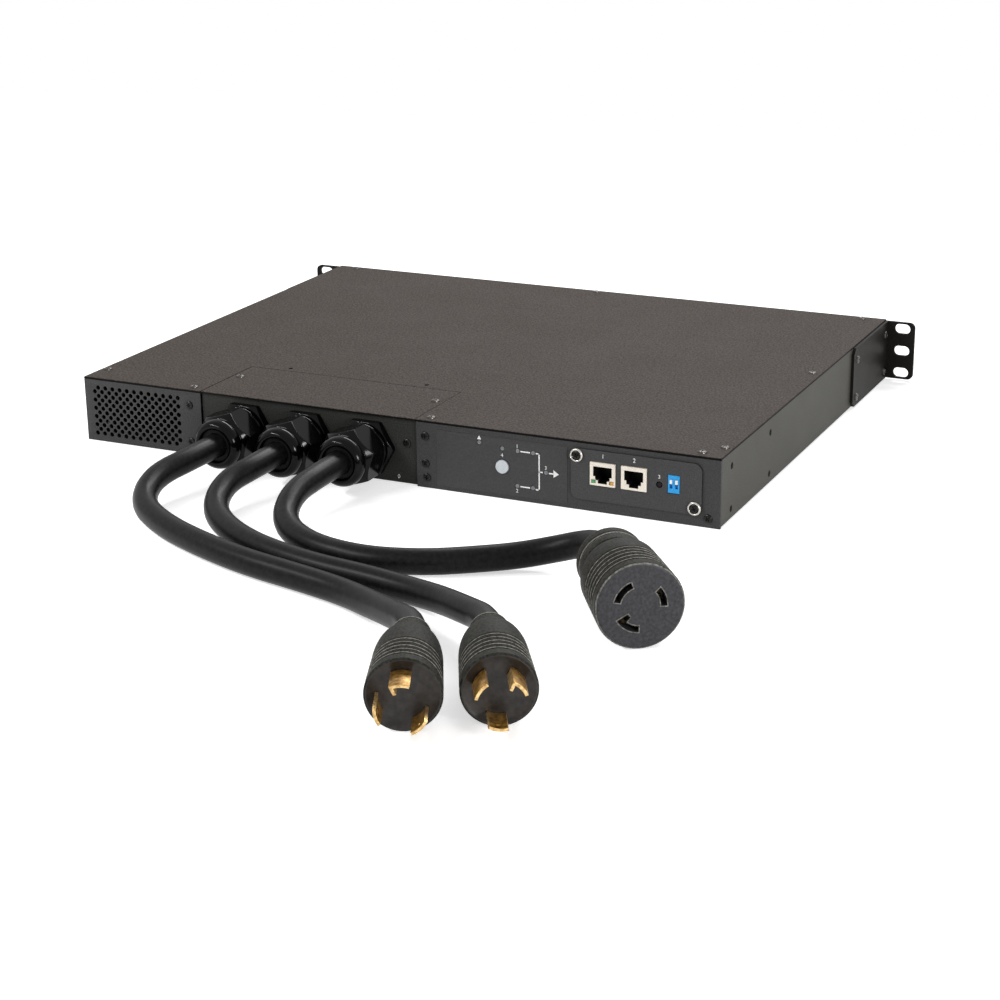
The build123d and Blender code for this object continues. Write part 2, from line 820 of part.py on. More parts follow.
# Network card: plate, board, two shielded jacks, reset button and a two-way slide switch
with BuildPart() as plate:
    with BuildSketch(facing(((card_left + card_right) / 2, card_face_y, (card_foot + card_top) / 2), -90)):
        RectangleRounded(card_right - card_left, card_top - card_foot, card_corner)
    extrude(amount=-card_sheet)
    for x in jack_places:
        block(x - jack_width / 2 - fit_gap, x + jack_width / 2 + fit_gap, card_face_y, fascia_y,
              jack_foot - fit_gap, jack_foot + jack_height + fit_gap, mode=Mode.SUBTRACT)
    block(dip_x - dip_width / 2 - fit_gap, dip_x + dip_width / 2 + fit_gap, card_face_y, fascia_y,
          dip_foot - fit_gap, dip_top + fit_gap, mode=Mode.SUBTRACT)
    holes(cord_face(card_face_y), [(reset_x, reset_z)], reset_hole_radius, card_sheet)
    screw_holes(cord_face(card_face_y), card_screw_places, card_sheet)
finish(plate.part, "card_plate")

with BuildPart() as card_board:
    block(card_left + card_lap + card_board_gap, card_right - card_lap - card_board_gap,
          fascia_y, fascia_y + card_board_depth, card_board_z, jack_foot)
finish(card_board.part, "card_board")

cavity_foot = jack_foot + jack_wall + cavity_lift
jack_back_y = jack_face_y + jack_depth
insert_face_y = jack_face_y + jack_recess
light_inset = jack_width / 2 - jack_wall - light_margin - light_width / 2
light_places = [jack_places[0] - light_inset, jack_places[0] + light_inset]
light_top = cavity_foot - light_margin


def light_block(middle, mode=Mode.ADD):
    """A link light, or its pocket, in the lower corner of the network jack."""
    block(middle - light_width / 2, middle + light_width / 2, insert_face_y, insert_face_y + light_depth,
          light_top - light_height, light_top, mode=mode)


for x, name in zip(jack_places, ("network_jack", "local_jack")):
    left = x - jack_width / 2
    right = x + jack_width / 2
    top = jack_foot + jack_height
    with BuildPart() as shield:
        block(left, right, jack_face_y, jack_back_y, jack_foot, top)
        block(left + jack_wall, right - jack_wall, jack_face_y, jack_back_y - jack_wall,
              jack_foot + jack_wall, top - jack_wall, mode=Mode.SUBTRACT)
    finish(shield.part, f"{name}_shield")
    with BuildPart() as insert:
        block(left + jack_wall, right - jack_wall, insert_face_y, jack_back_y - jack_wall,
              jack_foot + jack_wall, top - jack_wall)
        block(x - cavity_width / 2, x + cavity_width / 2, insert_face_y, insert_face_y + cavity_depth,
              cavity_foot, cavity_foot + cavity_height, mode=Mode.SUBTRACT)
        block(x - notch_width / 2, x + notch_width / 2, insert_face_y, insert_face_y + cavity_depth,
              cavity_foot - notch_height, cavity_foot, mode=Mode.SUBTRACT)
        if name == "network_jack":
            for middle in light_places:
                light_block(middle, mode=Mode.SUBTRACT)
    finish(insert.part, f"{name}_insert")

with BuildPart() as lights:
    for middle in light_places:
        light_block(middle)
finish(lights.part, "link_lights")

spring_z = cavity_foot + cavity_height - contact_drop
with BuildPart() as springs:
    for x in jack_places:
        for way in range(contact_count):
            middle = x + (way - (contact_count - 1) / 2) * contact_pitch
            block(middle - contact_section / 2, middle + contact_section / 2,
                  insert_face_y + contact_setback, insert_face_y + cavity_depth,
                  spring_z, spring_z + contact_section)
finish(springs.part, "jack_contacts")

# Reset button, recessed in its hole, and the two push switches that the buttons press
reset_face_y = card_face_y + reset_recess
reset_back_y = reset_face_y + reset_length
reset_switch_y = reset_back_y + reset_travel + fit_gap / 2
with BuildPart() as reset:
    with BuildSketch(facing((reset_x, reset_face_y, reset_z), -90)):
        RegularPolygon(reset_radius, small_sides)
    extrude(amount=-reset_length)
finish(reset.part, "reset_button")

with BuildPart() as switches:
    block(button_x - switch_size / 2, button_x + switch_size / 2, switch_face_y, control_board_y,
          button_z - switch_size / 2, button_z + switch_size / 2)
    block(reset_x - switch_size / 2, reset_x + switch_size / 2, reset_switch_y, reset_switch_y + switch_depth,
          jack_foot, reset_z + switch_size / 2)
finish(switches.part, "push_switches")

# Two-way slide switch: a body with two slots, and a slider in each
dip_face_y = card_face_y + dip_recess
slot_top = (dip_foot + dip_top) / 2 + (slider_height + slider_travel) / 2
slot_foot = slot_top - slider_height - slider_travel
slider_places = [dip_x - dip_pitch / 2, dip_x + dip_pitch / 2]
with BuildPart() as dip:
    dip_left = dip_x - dip_width / 2
    dip_right = dip_x + dip_width / 2
    dip_back_y = dip_face_y + dip_depth
    block(dip_left, dip_right, dip_face_y, dip_back_y, dip_foot, dip_top)
    block(dip_left, dip_right, fascia_y + fit_gap, dip_back_y, jack_foot, dip_foot)
    for x in slider_places:
        block(x - slider_width / 2 - slider_gap, x + slider_width / 2 + slider_gap,
              dip_face_y, dip_face_y + slider_depth + slider_gap,
              slot_foot - slider_gap, slot_top + slider_gap, mode=Mode.SUBTRACT)
finish(dip.part, "slide_switch")
for number, x in enumerate(slider_places, start=1):
    with BuildPart() as slider:
        block(x - slider_width / 2, x + slider_width / 2,
              dip_face_y - slider_proud, dip_face_y + slider_depth,
              slot_top - slider_height, slot_top)
    finish(slider.part, f"slider_{number}")

# Captive card screws: a bright collar on the plate, and a black screw inside it
with BuildPart() as collars:
    with BuildSketch(cord_face(card_face_y)):
        with Locations(*card_screw_places):
            RegularPolygon(collar_radius, inner_sides)
            flat_sided(card_screw_radius + fit_gap, head_sides, Mode.SUBTRACT)
    extrude(amount=collar_height)
finish(collars.part, "card_screw_collars")

with BuildPart() as card_screws:
    with BuildSketch(cord_face(card_face_y)):
        with Locations(*card_screw_places):
            flat_sided(card_screw_radius, head_sides)
    extrude(amount=collar_height)
    with BuildSketch(cord_face(card_face_y)):
        with Locations(*card_screw_places):
            flat_sided(shank_radius, screw_sides)
    extrude(amount=-shank_length)
finish(card_screws.part, "card_screws")

# Terminal block in the wiring bay, with a barrier between ways, and the cords' inner leads
terminal_y = fascia_y + terminal_setback
with BuildPart() as terminals:
    block(gland_centre - terminal_width / 2, gland_centre + terminal_width / 2,
          terminal_y, terminal_y + terminal_depth, sheet, sheet + terminal_height)
    way_pitch = terminal_width / terminal_ways
    half_way = (way_pitch - terminal_web) / 2
    for way in range(terminal_ways):
        middle = gland_centre + (way - (terminal_ways - 1) / 2) * way_pitch
        block(middle - half_way, middle + half_way,
              terminal_y + terminal_rim, terminal_y + terminal_depth - terminal_rim,
              sheet + terminal_height - terminal_pocket, sheet + terminal_height, mode=Mode.SUBTRACT)
finish(terminals.part, "terminal_block")

with BuildPart() as leads:
    with BuildSketch(cord_face(fascia_y - cord_start)):
        with Locations(*[(x + way * lead_pitch, gland_z) for x in gland_places for way in (-1, 0, 1)]):
            RegularPolygon(lead_radius, screw_sides)
    extrude(amount=-(cord_start + terminal_setback))
finish(leads.part, "cord_leads")

# Heat sink in the air path and main board beside it, both set off from the partition and the walls
inner_far_y = far_y - sheet
sink_left = -half_width + sheet + sink_side_gap
sink_y = partition_back + sink_gap
sink_length = inner_far_y - sink_far_gap - sink_y
main_board_left = sink_left + sink_width + main_board_gap
main_board_y = partition_back + main_board_gap
main_board_width = half_width - sheet - main_board_side_gap - main_board_left
main_board_length = inner_far_y - main_board_far_gap - main_board_y
with BuildPart() as main_board:
    block(main_board_left, main_board_left + main_board_width, main_board_y, main_board_y + main_board_length,
          sheet + main_board_lift, sheet + main_board_lift + board_thickness)
finish(main_board.part, "main_board")

with BuildPart() as standoffs:
    board_middle = (main_board_left + main_board_width / 2, main_board_y + main_board_length / 2)
    with BuildSketch(Plane.XY.offset(sheet)):
        with Locations(board_middle):
            column_step = main_board_width / 2 - standoff_inset
            row_step = main_board_length - 2 * standoff_inset
            with GridLocations(column_step, row_step, 3, 2):
                RegularPolygon(standoff_radius, small_sides)
    extrude(amount=main_board_lift)
finish(standoffs.part, "board_standoffs")

# Heat sink fins, with the thyristor modules on the bare strip beside them
with BuildPart() as sink:
    block(sink_left, sink_left + sink_width, sink_y, sink_y + sink_length, sheet, sheet + sink_base)
    for fin in range(fin_count):
        fin_x = sink_left + fin * fin_pitch
        block(fin_x, fin_x + fin_thickness, sink_y, sink_y + sink_length, sheet + sink_base,
              sheet + sink_base + fin_height)
finish(sink.part, "heat_sink")

with BuildPart() as modules:
    module_x = sink_left + sink_width - module_width - module_margin
    module_room = sink_length - 2 * module_inset
    module_count = int((module_room + module_gap) / (module_length + module_gap))
    module_step = module_room / module_count
    for way in range(module_count):
        module_y = sink_y + module_inset + way * module_step + (module_step - module_length) / 2
        block(module_x, module_x + module_width, module_y, module_y + module_length,
              sheet + sink_base, sheet + sink_base + module_height)
finish(modules.part, "thyristor_modules")

# Small transformer that feeds the control electronics
with BuildPart() as transformer:
    corner_x = main_board_left + main_board_width - transformer_size - transformer_inset
    corner_y = main_board_y + main_board_length - transformer_size - transformer_inset
    seat_z = sheet + main_board_lift + board_thickness
    block(corner_x, corner_x + transformer_size, corner_y, corner_y + transformer_size, seat_z,
          seat_z + transformer_height)
    chamfer(transformer.edges().filter_by(Axis.Z), transformer_corner)
finish(transformer.part, "supply_transformer")
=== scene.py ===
# %% [markdown]
# # A rack static transfer switch, seen from its cord side
#
# The sheet metal, the glands and the plugs come from a measured model, the frame. This lesson dresses that
# frame: it gives every surface a finish, makes the cords flexible, and replaces the pieces whose rounds and
# small reliefs need a finer mesh than a construction model has.

# %% Load the frame
from math import cos, radians, sin

import bmesh
import bpy
import numpy as np
from mathutils import Matrix, Vector


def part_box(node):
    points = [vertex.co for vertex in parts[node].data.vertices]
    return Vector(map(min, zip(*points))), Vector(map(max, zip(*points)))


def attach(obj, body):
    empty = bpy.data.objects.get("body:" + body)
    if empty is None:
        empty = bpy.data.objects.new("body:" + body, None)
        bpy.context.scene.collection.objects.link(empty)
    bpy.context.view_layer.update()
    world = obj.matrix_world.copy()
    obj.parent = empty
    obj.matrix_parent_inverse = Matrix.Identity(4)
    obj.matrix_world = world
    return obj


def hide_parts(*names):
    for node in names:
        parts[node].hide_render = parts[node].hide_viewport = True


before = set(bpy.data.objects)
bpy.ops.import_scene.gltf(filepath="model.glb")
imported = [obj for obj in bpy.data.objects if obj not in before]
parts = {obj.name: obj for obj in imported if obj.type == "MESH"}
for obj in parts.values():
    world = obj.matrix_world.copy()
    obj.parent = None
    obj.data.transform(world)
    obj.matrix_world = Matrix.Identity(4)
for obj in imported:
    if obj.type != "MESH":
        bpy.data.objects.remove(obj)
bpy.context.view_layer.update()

# %% [markdown]
# ## Units and places
#
# The object is described in millimetres, as its drawing would be, and one factor turns them into Blender's
# metres. Three planes carry nearly everything: the fascia that looks out at the cords, the gland wall just
# behind it, and the top of the lid.

# %% Planes of the box
MM = 0.001
UP = Vector((0, 0, 1))


def box_mm(name):
    """Lowest and highest corner of a node at rest, in millimetres."""
    return [[value / MM for value in corner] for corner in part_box(name)]


FASCIA_Y, WALL_Y = (corner[1] for corner in box_mm("control_panel"))
FILM_Y = box_mm("panel_overlay")[0][1]
CARD_Y = box_mm("card_plate")[0][1]
HALF_WIDTH, FAR_Y, LID_TOP = box_mm("top_lid")[1]
print("fascia", round(FASCIA_Y, 2), "wall", round(WALL_Y, 2), "lid", round(LID_TOP, 2))


# %% Local frames: x to the right, y up and z out of the surface
CORD_SIDE, RIGHT_SIDE, LEFT_SIDE = -90, 0, 180


def looking(origin, heading):
    """Origin and basis of an upright face that looks along a level heading in degrees."""
    out = Vector((cos(radians(heading)), sin(radians(heading)), 0))
    return Vector(origin), np.array([UP.cross(out), UP, out])


def looking_up(origin):
    """Origin and basis of a level face that looks up."""
    return Vector(origin), np.eye(3)


def settle(points, place):
    """Local millimetres to metres in the frame: origin plus x, y and z along the basis rows."""
    origin, basis = place
    return (np.asarray(points, float) @ basis + np.array(origin)) * MM


# %% [markdown]
# ## From arrays to meshes
#
# A turned, waved or ribbed surface is a grid: one parameter goes round, the other along. Numpy works out all
# points at once, and the faces are only index arithmetic. Welding closes the seam and the poles, and a sharp
# angle keeps machined edges crisp while round stretches stay smooth.

# %% Grid surface to object
def add_piece(mesh, finishes, body="box", replaces=(), sharp=32.0):
    """Weld a mesh, point its faces outwards, ride it on a body of the frame, and give it its finishes."""
    welded = bmesh.new()
    welded.from_mesh(mesh)
    bmesh.ops.remove_doubles(welded, verts=welded.verts, dist=1e-7)
    bmesh.ops.recalc_face_normals(welded, faces=welded.faces)
    welded.to_mesh(mesh)
    welded.free()
    mesh.shade_smooth()
    mesh.set_sharp_from_angle(angle=radians(sharp))
    piece = bpy.data.objects.new(mesh.name, mesh)
    bpy.context.scene.collection.objects.link(piece)
    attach(piece, body)
    if replaces:
        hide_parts(*replaces)
    for finish in finishes:
        mesh.materials.append(finish)
    return piece


def grid_mesh(sheets, name):
    """Sheets of points, each rows by columns by 3 with columns closed round, as one mesh of quads."""
    points = []
    quads = []
    start = 0
    for sheet in sheets:
        rows, columns = sheet.shape[:2]
        corner = np.arange(rows * columns).reshape(rows, columns) + start
        ahead = np.roll(corner, -1, axis=1)
        quads.append(np.stack([corner[:-1], ahead[:-1], ahead[1:], corner[1:]], axis=-1).reshape(-1, 4))
        points.append(sheet.reshape(-1, 3))
        start += rows * columns
    mesh = bpy.data.meshes.new(name)
    mesh.from_pydata(np.concatenate(points).tolist(), [], np.concatenate(quads).tolist())
    return mesh


def turned(profile, steps=64):
    """Rows of (radius, height) carried round the z axis: x = r cos a, y = r sin a, z = h."""
    radius, height = np.asarray(profile, float).T
    angle = np.linspace(0, 2 * np.pi, steps, endpoint=False)
    x, y = np.outer(radius, np.cos(angle)), np.outer(radius, np.sin(angle))
    return np.stack([x, y, np.outer(height, np.ones(steps))], -1)


def eased(profile, reach, steps=4):
    """Each corner becomes a quadratic arc that starts and ends `reach` from it, or 0.45 of a shorter run."""
    points = np.asarray(profile, float)
    run = np.diff(points, axis=0)
    length = np.linalg.norm(run, axis=1, keepdims=True)
    cut = run * np.minimum(reach / np.maximum(length, 1e-9), 0.45)
    corner = points[1:-1, None]
    before, after = corner - cut[:-1, None], corner + cut[1:, None]
    t = np.linspace(0, 1, steps)[None, :, None]
    arcs = (1 - t) ** 2 * before + 2 * t * (1 - t) * corner + t**2 * after
    return np.concatenate([points[:1], arcs.reshape(-1, 2), points[-1:]])


# %% Flat plates with holes
def circle_points(x, y, radius, steps=20):
    """Points of a circle about (x, y)."""
    angle = np.linspace(0, 2 * np.pi, steps, endpoint=False)
    return np.stack([x + radius * np.cos(angle), y + radius * np.sin(angle)], -1)


def rectangle_points(left, right, low, high, corner=0.0, steps=6):
    """A rectangle whose corners are quarter circles of the given radius."""
    turn = np.linspace(0, np.pi / 2, steps)
    quarter = np.arange(4)[:, None] * np.pi / 2 + turn
    middle_x = np.array([right - corner, left + corner, left + corner, right - corner])[:, None]
    middle_y = np.array([high - corner, high - corner, low + corner, low + corner])[:, None]
    points = np.stack([middle_x + corner * np.cos(quarter), middle_y + corner * np.sin(quarter)], -1)
    return points.reshape(-1, 2) if corner else points[:, 0]


def plate_mesh(loops, thickness, edge, name):
    """A sheet from closed loops, outline first: a filled flat curve with a small round on its edges."""
    curve = bpy.data.curves.new(name, "CURVE")
    curve.dimensions = "2D"
    curve.fill_mode = "BOTH"
    curve.extrude = thickness / 2 - edge
    curve.bevel_depth = edge
    curve.bevel_resolution = 1
    curve.offset = -edge
    for loop in loops:
        spline = curve.splines.new("POLY")
        spline.points.add(len(loop) - 1)
        flat = np.concatenate([loop, np.zeros((len(loop), 1)), np.ones((len(loop), 1))], axis=1)
        spline.points.foreach_set("co", flat.ravel())
        spline.use_cyclic_u = True
    holder = bpy.data.objects.new(name, curve)
    mesh = bpy.data.meshes.new_from_object(holder)
    bpy.data.objects.remove(holder)
    mesh.name = name
    return mesh


def settle_mesh(mesh, place):
    """Move a mesh made in local millimetres to its place in the frame."""
    local = np.empty(len(mesh.vertices) * 3)
    mesh.vertices.foreach_get("co", local)
    mesh.vertices.foreach_set("co", settle(local.reshape(-1, 3), place).ravel())
    mesh.update()
    return mesh


def fascia_plate(part, name, openings, edge, finish, corner=0.0):
    """An upright plate in place of a node: its box gives outline and thickness, each opening is a loop."""
    low, high = box_mm(part)
    outline = rectangle_points(low[0], high[0], low[2], high[2], corner, 8)
    mesh = plate_mesh([outline, *openings], high[1] - low[1], edge, name)
    settle_mesh(mesh, looking((0, (low[1] + high[1]) / 2, 0), CORD_SIDE))
    return add_piece(mesh, [finish], replaces=[part])


print("mesh helpers ready")

# %% [markdown]
# ## The camera
#
# The photograph was taken with a long lens from the front right and a little above. Direction, roll and
# distance were fitted to the box's corners, so the camera is set from its own axes: back, right and up.

# %% Camera
AZIMUTH, ELEVATION, ROLL = radians(25.3985), radians(19.2355), radians(-0.6942)
CAMERA_AT = Vector((0.60608, -1.26203, 0.42689))
back = Vector((sin(AZIMUTH) * cos(ELEVATION), -cos(AZIMUTH) * cos(ELEVATION), sin(ELEVATION)))
level_right = UP.cross(back).normalized()
level_up = back.cross(level_right)
right = cos(ROLL) * level_right + sin(ROLL) * level_up
above = -sin(ROLL) * level_right + cos(ROLL) * level_up
camera = bpy.data.objects.new("camera", bpy.data.cameras.new("camera"))
camera.data.lens = 77.53
camera.data.sensor_width = 36.0
camera.data.clip_end = 20.0
camera.matrix_world = Matrix.Translation(CAMERA_AT) @ Matrix((right, above, back)).transposed().to_4x4()
bpy.context.scene.collection.objects.link(camera)
bpy.context.scene.camera = camera
print("camera lens", camera.data.lens)

# %% [markdown]
# ## Colours and material nodes
#
# Colours are written as the hex values that a paint card or a picture shows, and turned into the linear
# light that the shader works in. Every finish reads Object coordinates, so a grain of half a millimetre is
# half a millimetre on each piece.

# %% Colour and node helpers
def linear(code):
    """A hex colour such as #5a5452 as linear red, green, blue and alpha."""
    stored = np.array([int(code[i : i + 2], 16) for i in (1, 3, 5)]) / 255
    light = np.where(stored <= 0.04045, stored / 12.92, ((stored + 0.055) / 1.055) ** 2.4)
    return (*light.tolist(), 1.0)


def node(tree, kind, settings=(), links=()):
    """Add one node: settings are (input or property, value) pairs, links are (input, output socket) pairs."""
    made = tree.nodes.new(kind)
    for key, value in settings:
        if isinstance(key, str) and hasattr(made, key):
            setattr(made, key, value)
        else:
            made.inputs[key].default_value = value
    for key, socket in links:
        tree.links.new(socket, made.inputs[key])
    return made


def new_finish(name):
    """An empty material with its shader, and the Object coordinates that its patterns read."""
    material = bpy.data.materials.new(name)
    material.use_nodes = True
    tree = material.node_tree
    coordinates = tree.nodes.new("ShaderNodeTexCoord")
    return material, tree, tree.nodes["Principled BSDF"], coordinates.outputs["Object"]


def per_metre(size_mm):
    """Noise scale for a pattern whose features are about this large."""
    return 1.0 / (size_mm * MM)


# %% A finish with grain: colour drifts between two tones, and the same grain lifts the surface
def grained(name, dark, light, grain_mm, roughness, lift_mm, strength=0.5, past=None, **sockets):
    """Fine noise mixes two tones and drives the bump; a broad noise varies the gloss.

    past = (axis, from mm, to mm, dark, light) fades to other tones where the size of that coordinate passes
    a plane.
    """
    material, tree, shader, place = new_finish(name)
    fine = node(tree, "ShaderNodeTexNoise", [("Scale", per_metre(grain_mm)), ("Detail", 3.0)],
                [("Vector", place)])
    speckle = node(tree, "ShaderNodeMapRange", [(1, 0.3), (2, 0.7)], [(0, fine.outputs["Fac"])])
    tone = node(tree, "ShaderNodeMix", [("data_type", "RGBA"), (6, linear(dark)), (7, linear(light))],
                [(0, speckle.outputs[0])])
    if past:
        axis, start, stop, dark, light = past
        split = node(tree, "ShaderNodeSeparateXYZ", [], [(0, place)])
        size = node(tree, "ShaderNodeMath", [("operation", "ABSOLUTE")], [(0, split.outputs[axis])])
        mask = node(tree, "ShaderNodeMapRange", [(1, start * MM), (2, stop * MM)], [(0, size.outputs[0])])
        other = node(tree, "ShaderNodeMix", [("data_type", "RGBA"), (6, linear(dark)), (7, linear(light))],
                     [(0, speckle.outputs[0])])
        tone = node(tree, "ShaderNodeMix", [("data_type", "RGBA")],
                    [(0, mask.outputs[0]), (6, tone.outputs[2]), (7, other.outputs[2])])
    tree.links.new(tone.outputs[2], shader.inputs["Base Color"])
    broad = node(tree, "ShaderNodeTexNoise", [("Scale", per_metre(40 * grain_mm)), ("Detail", 2.0)],
                 [("Vector", place)])
    gloss = node(tree, "ShaderNodeMapRange", [(3, roughness - 0.05), (4, roughness + 0.05)],
                 [(0, broad.outputs["Fac"])])
    tree.links.new(gloss.outputs[0], shader.inputs["Roughness"])
    bump = node(tree, "ShaderNodeBump", [("Strength", strength), ("Distance", lift_mm * MM)],
                [("Height", fine.outputs["Fac"])])
    tree.links.new(bump.outputs["Normal"], shader.inputs["Normal"])
    for socket, value in sockets.items():
        shader.inputs[socket.replace("_", " ")].default_value = value
    return material


print("material helpers ready")

# %% [markdown]
# ## Finishes of the sheet metal
#
# The case is steel sheet under a textured polyester powder coat. The powder melts into a fine orange peel,
# so highlights break up and the paint looks matt. Just past its face each sheet turns near black: painted
# shade for the dark seams between the sheets. The tray's outer sides are painted lighter than its gland
# wall: painted light, for the light that falls on the sides.
# The real grain is about half a millimetre; the lid's is drawn twice as coarse, so that it shows.

# %% Powder coats
# Near-black tones just past a sheet's face are painted shade for the seams between the sheets.
SEAM_SHADE_TONES = ("#060606", "#0c0c0c")
lid_coat_and_seam_shade = grained("warm_powder_coat_and_seam_shade", "#1f1a17", "#544c47", 1.2, 0.58, 0.1, 0.5,
                   past=("Z", LID_TOP - 0.2, LID_TOP - 0.3, *SEAM_SHADE_TONES), Specular_IOR_Level=0.06)
# The tray's outer sides get lighter tones than its gland wall: painted light on the sides.
tray_coat_and_side_light = grained("olive_powder_coat_and_side_light", "#222221", "#393937", 0.8, 0.5, 0.06, 0.5,
                    past=("X", HALF_WIDTH - 1.0, HALF_WIDTH - 0.9, "#35342f", "#4a4944"),
                    Specular_IOR_Level=0.1)
ear_coat = grained("black_powder_coat", "#0f0e0c", "#201d1a", 0.8, 0.5, 0.06, 0.5, Specular_IOR_Level=0.08)
fascia_coat_and_seam_shade = grained("fine_powder_coat_and_seam_shade", "#2b2b2b", "#414141", 0.6, 0.5, 0.04, 0.4,
                      past=("Y", -FASCIA_Y - 0.25, -FASCIA_Y - 0.35, *SEAM_SHADE_TONES), Specular_IOR_Level=0.2)
card_coat_and_seam_shade = grained("card_powder_coat_and_seam_shade", "#2f2f30", "#434344", 0.6, 0.48, 0.04, 0.4,
                    past=("Y", -CARD_Y - 0.3, -CARD_Y - 0.4, *SEAM_SHADE_TONES), Specular_IOR_Level=0.25)
print("powder coats", lid_coat_and_seam_shade.name, tray_coat_and_side_light.name, ear_coat.name, fascia_coat_and_seam_shade.name)

# %% Plated sheet, and screws blackened over zinc, which still look metallic
zinc_sheet = grained("zinc_plated_sheet", "#8b8c88", "#b4b5b0", 6.0, 0.38, 0.01, 0.1, Metallic=1.0)
black_steel = grained("black_oxide_steel", "#1a1a1a", "#333231", 0.3, 0.3, 0.01, 0.3, Metallic=0.9)
grey_steel = grained("black_zinc_steel", "#3c3a38", "#5a5754", 0.3, 0.28, 0.01, 0.3, Metallic=1.0)
nickel = grained("nickel_plated_brass", "#a9a6a0", "#cfccc5", 0.5, 0.22, 0.01, 0.2, Metallic=1.0)

# %% [markdown]
# ## Finishes of plastic and rubber
#
# Cable glands are injection-moulded polyamide and come out of the mould glossy. Cords have an extruded
# jacket with a soft sheen. The plugs are moulded in a rubbery compound with a matt, dusty skin. The crests
# of their grip rings are painted pale: a painted highlight for the light they catch.

# %% Nylon, jacket and plug rubber
nylon = grained("moulded_black_nylon", "#020202", "#060606", 1.5, 0.12, 0.01, 0.1, Specular_IOR_Level=0.12)
seal_rubber = grained("black_seal_rubber", "#050505", "#0c0c0c", 0.8, 0.6, 0.02, 0.3, Specular_IOR_Level=0.15)
jacket = grained("extruded_cord_jacket", "#090808", "#1a1818", 2.5, 0.36, 0.05, 0.2, Specular_IOR_Level=0.1)
plug_rubber = grained("moulded_plug_rubber", "#080807", "#35342f", 1.3, 0.6, 0.15, 0.7,
                      Specular_IOR_Level=0.1)
# Pale tones on ring crests, neck rings, face rim, collar rings and slot lips: a painted highlight.
painted_crest_highlight = grained("ring_crest_painted_highlight", "#3a3935", "#85837c", 1.4, 0.55, 0.05, 0.5, Specular_IOR_Level=0.2)
plug_face = grained("smooth_plug_face", "#16130f", "#2c2826", 3.0, 0.36, 0.02, 0.3, Specular_IOR_Level=0.3)
connector_face = grained("moulded_connector_face", "#242427", "#38383c", 1.6, 0.5, 0.04, 0.4,
                         Specular_IOR_Level=0.25)
print("rubber finishes", jacket.name, plug_rubber.name)

# %% Film, ink and small plastics
film = grained("printed_polyester_film", "#343435", "#3d3d3e", 1.0, 0.46, 0.005, 0.2, Specular_IOR_Level=0.25)
ink = grained("white_screen_ink", "#d6d6d4", "#efefed", 0.3, 0.6, 0.005, 0.2)
black_plastic = grained("moulded_black_plastic", "#060607", "#101011", 0.5, 0.45, 0.01, 0.3,
                        Specular_IOR_Level=0.2)
button_plastic = grained("pale_grey_button", "#b4babf", "#c9ced2", 0.5, 0.42, 0.01, 0.2)
lens = grained("smoky_lens", "#5e6062", "#7b7d80", 0.8, 0.2, 0.005, 0.1, IOR=1.49)
lamp_low, lamp_high = box_mm("link_lights")
link_x = (lamp_low[0] + lamp_high[0]) / 2
link_lens = grained("green_and_amber_lens", "#2f8a4e", "#57b678", 0.6, 0.3, 0.005, 0.1,
                    past=("X", link_x - 0.1, link_x + 0.1, "#c98f22", "#e6b04a"))
switch_blue = grained("blue_switch_plastic", "#1183c4", "#2aa0e0", 0.5, 0.4, 0.01, 0.2)
switch_white = grained("white_switch_plastic", "#dcdcd8", "#f2f2ee", 0.4, 0.42, 0.01, 0.2)
print("small plastics", film.name, link_lens.name)

# %% [markdown]
# ## Finishes of bare metal
#
# The blades are rolled brass that has browned, with bright stamped edges. The socket shields are tin plate
# with fine drawing marks.

# %% Brass, gold, tin plate and the pieces inside
brass = grained("browned_rolled_brass", "#5e4013", "#b88c42", 2.6, 0.34, 0.03, 0.4, Metallic=0.7)
edge_brass = grained("stamped_brass_edge", "#97723a", "#e6c68c", 1.6, 0.35, 0.02, 0.3, Metallic=0.8)
gold = grained("gold_flashed_contact", "#7d6226", "#a5864a", 0.6, 0.3, 0.005, 0.1, Metallic=1.0)
tin_plate = grained("tin_plated_shield", "#d3cabd", "#eee6da", 0.5, 0.4, 0.01, 0.2, Metallic=0.35)
board_green = grained("glass_epoxy_board", "#174a2b", "#21603a", 2.0, 0.45, 0.02, 0.3)
aluminium = grained("extruded_aluminium", "#a9abac", "#c9cbcc", 1.0, 0.34, 0.01, 0.2, Metallic=1.0)
epoxy = grained("filled_epoxy", "#161617", "#242425", 0.8, 0.5, 0.02, 0.4)
lead_jacket = grained("lead_insulation", "#2a201a", "#40332a", 1.0, 0.45, 0.01, 0.2)
print("bare metals", brass.name, tin_plate.name)

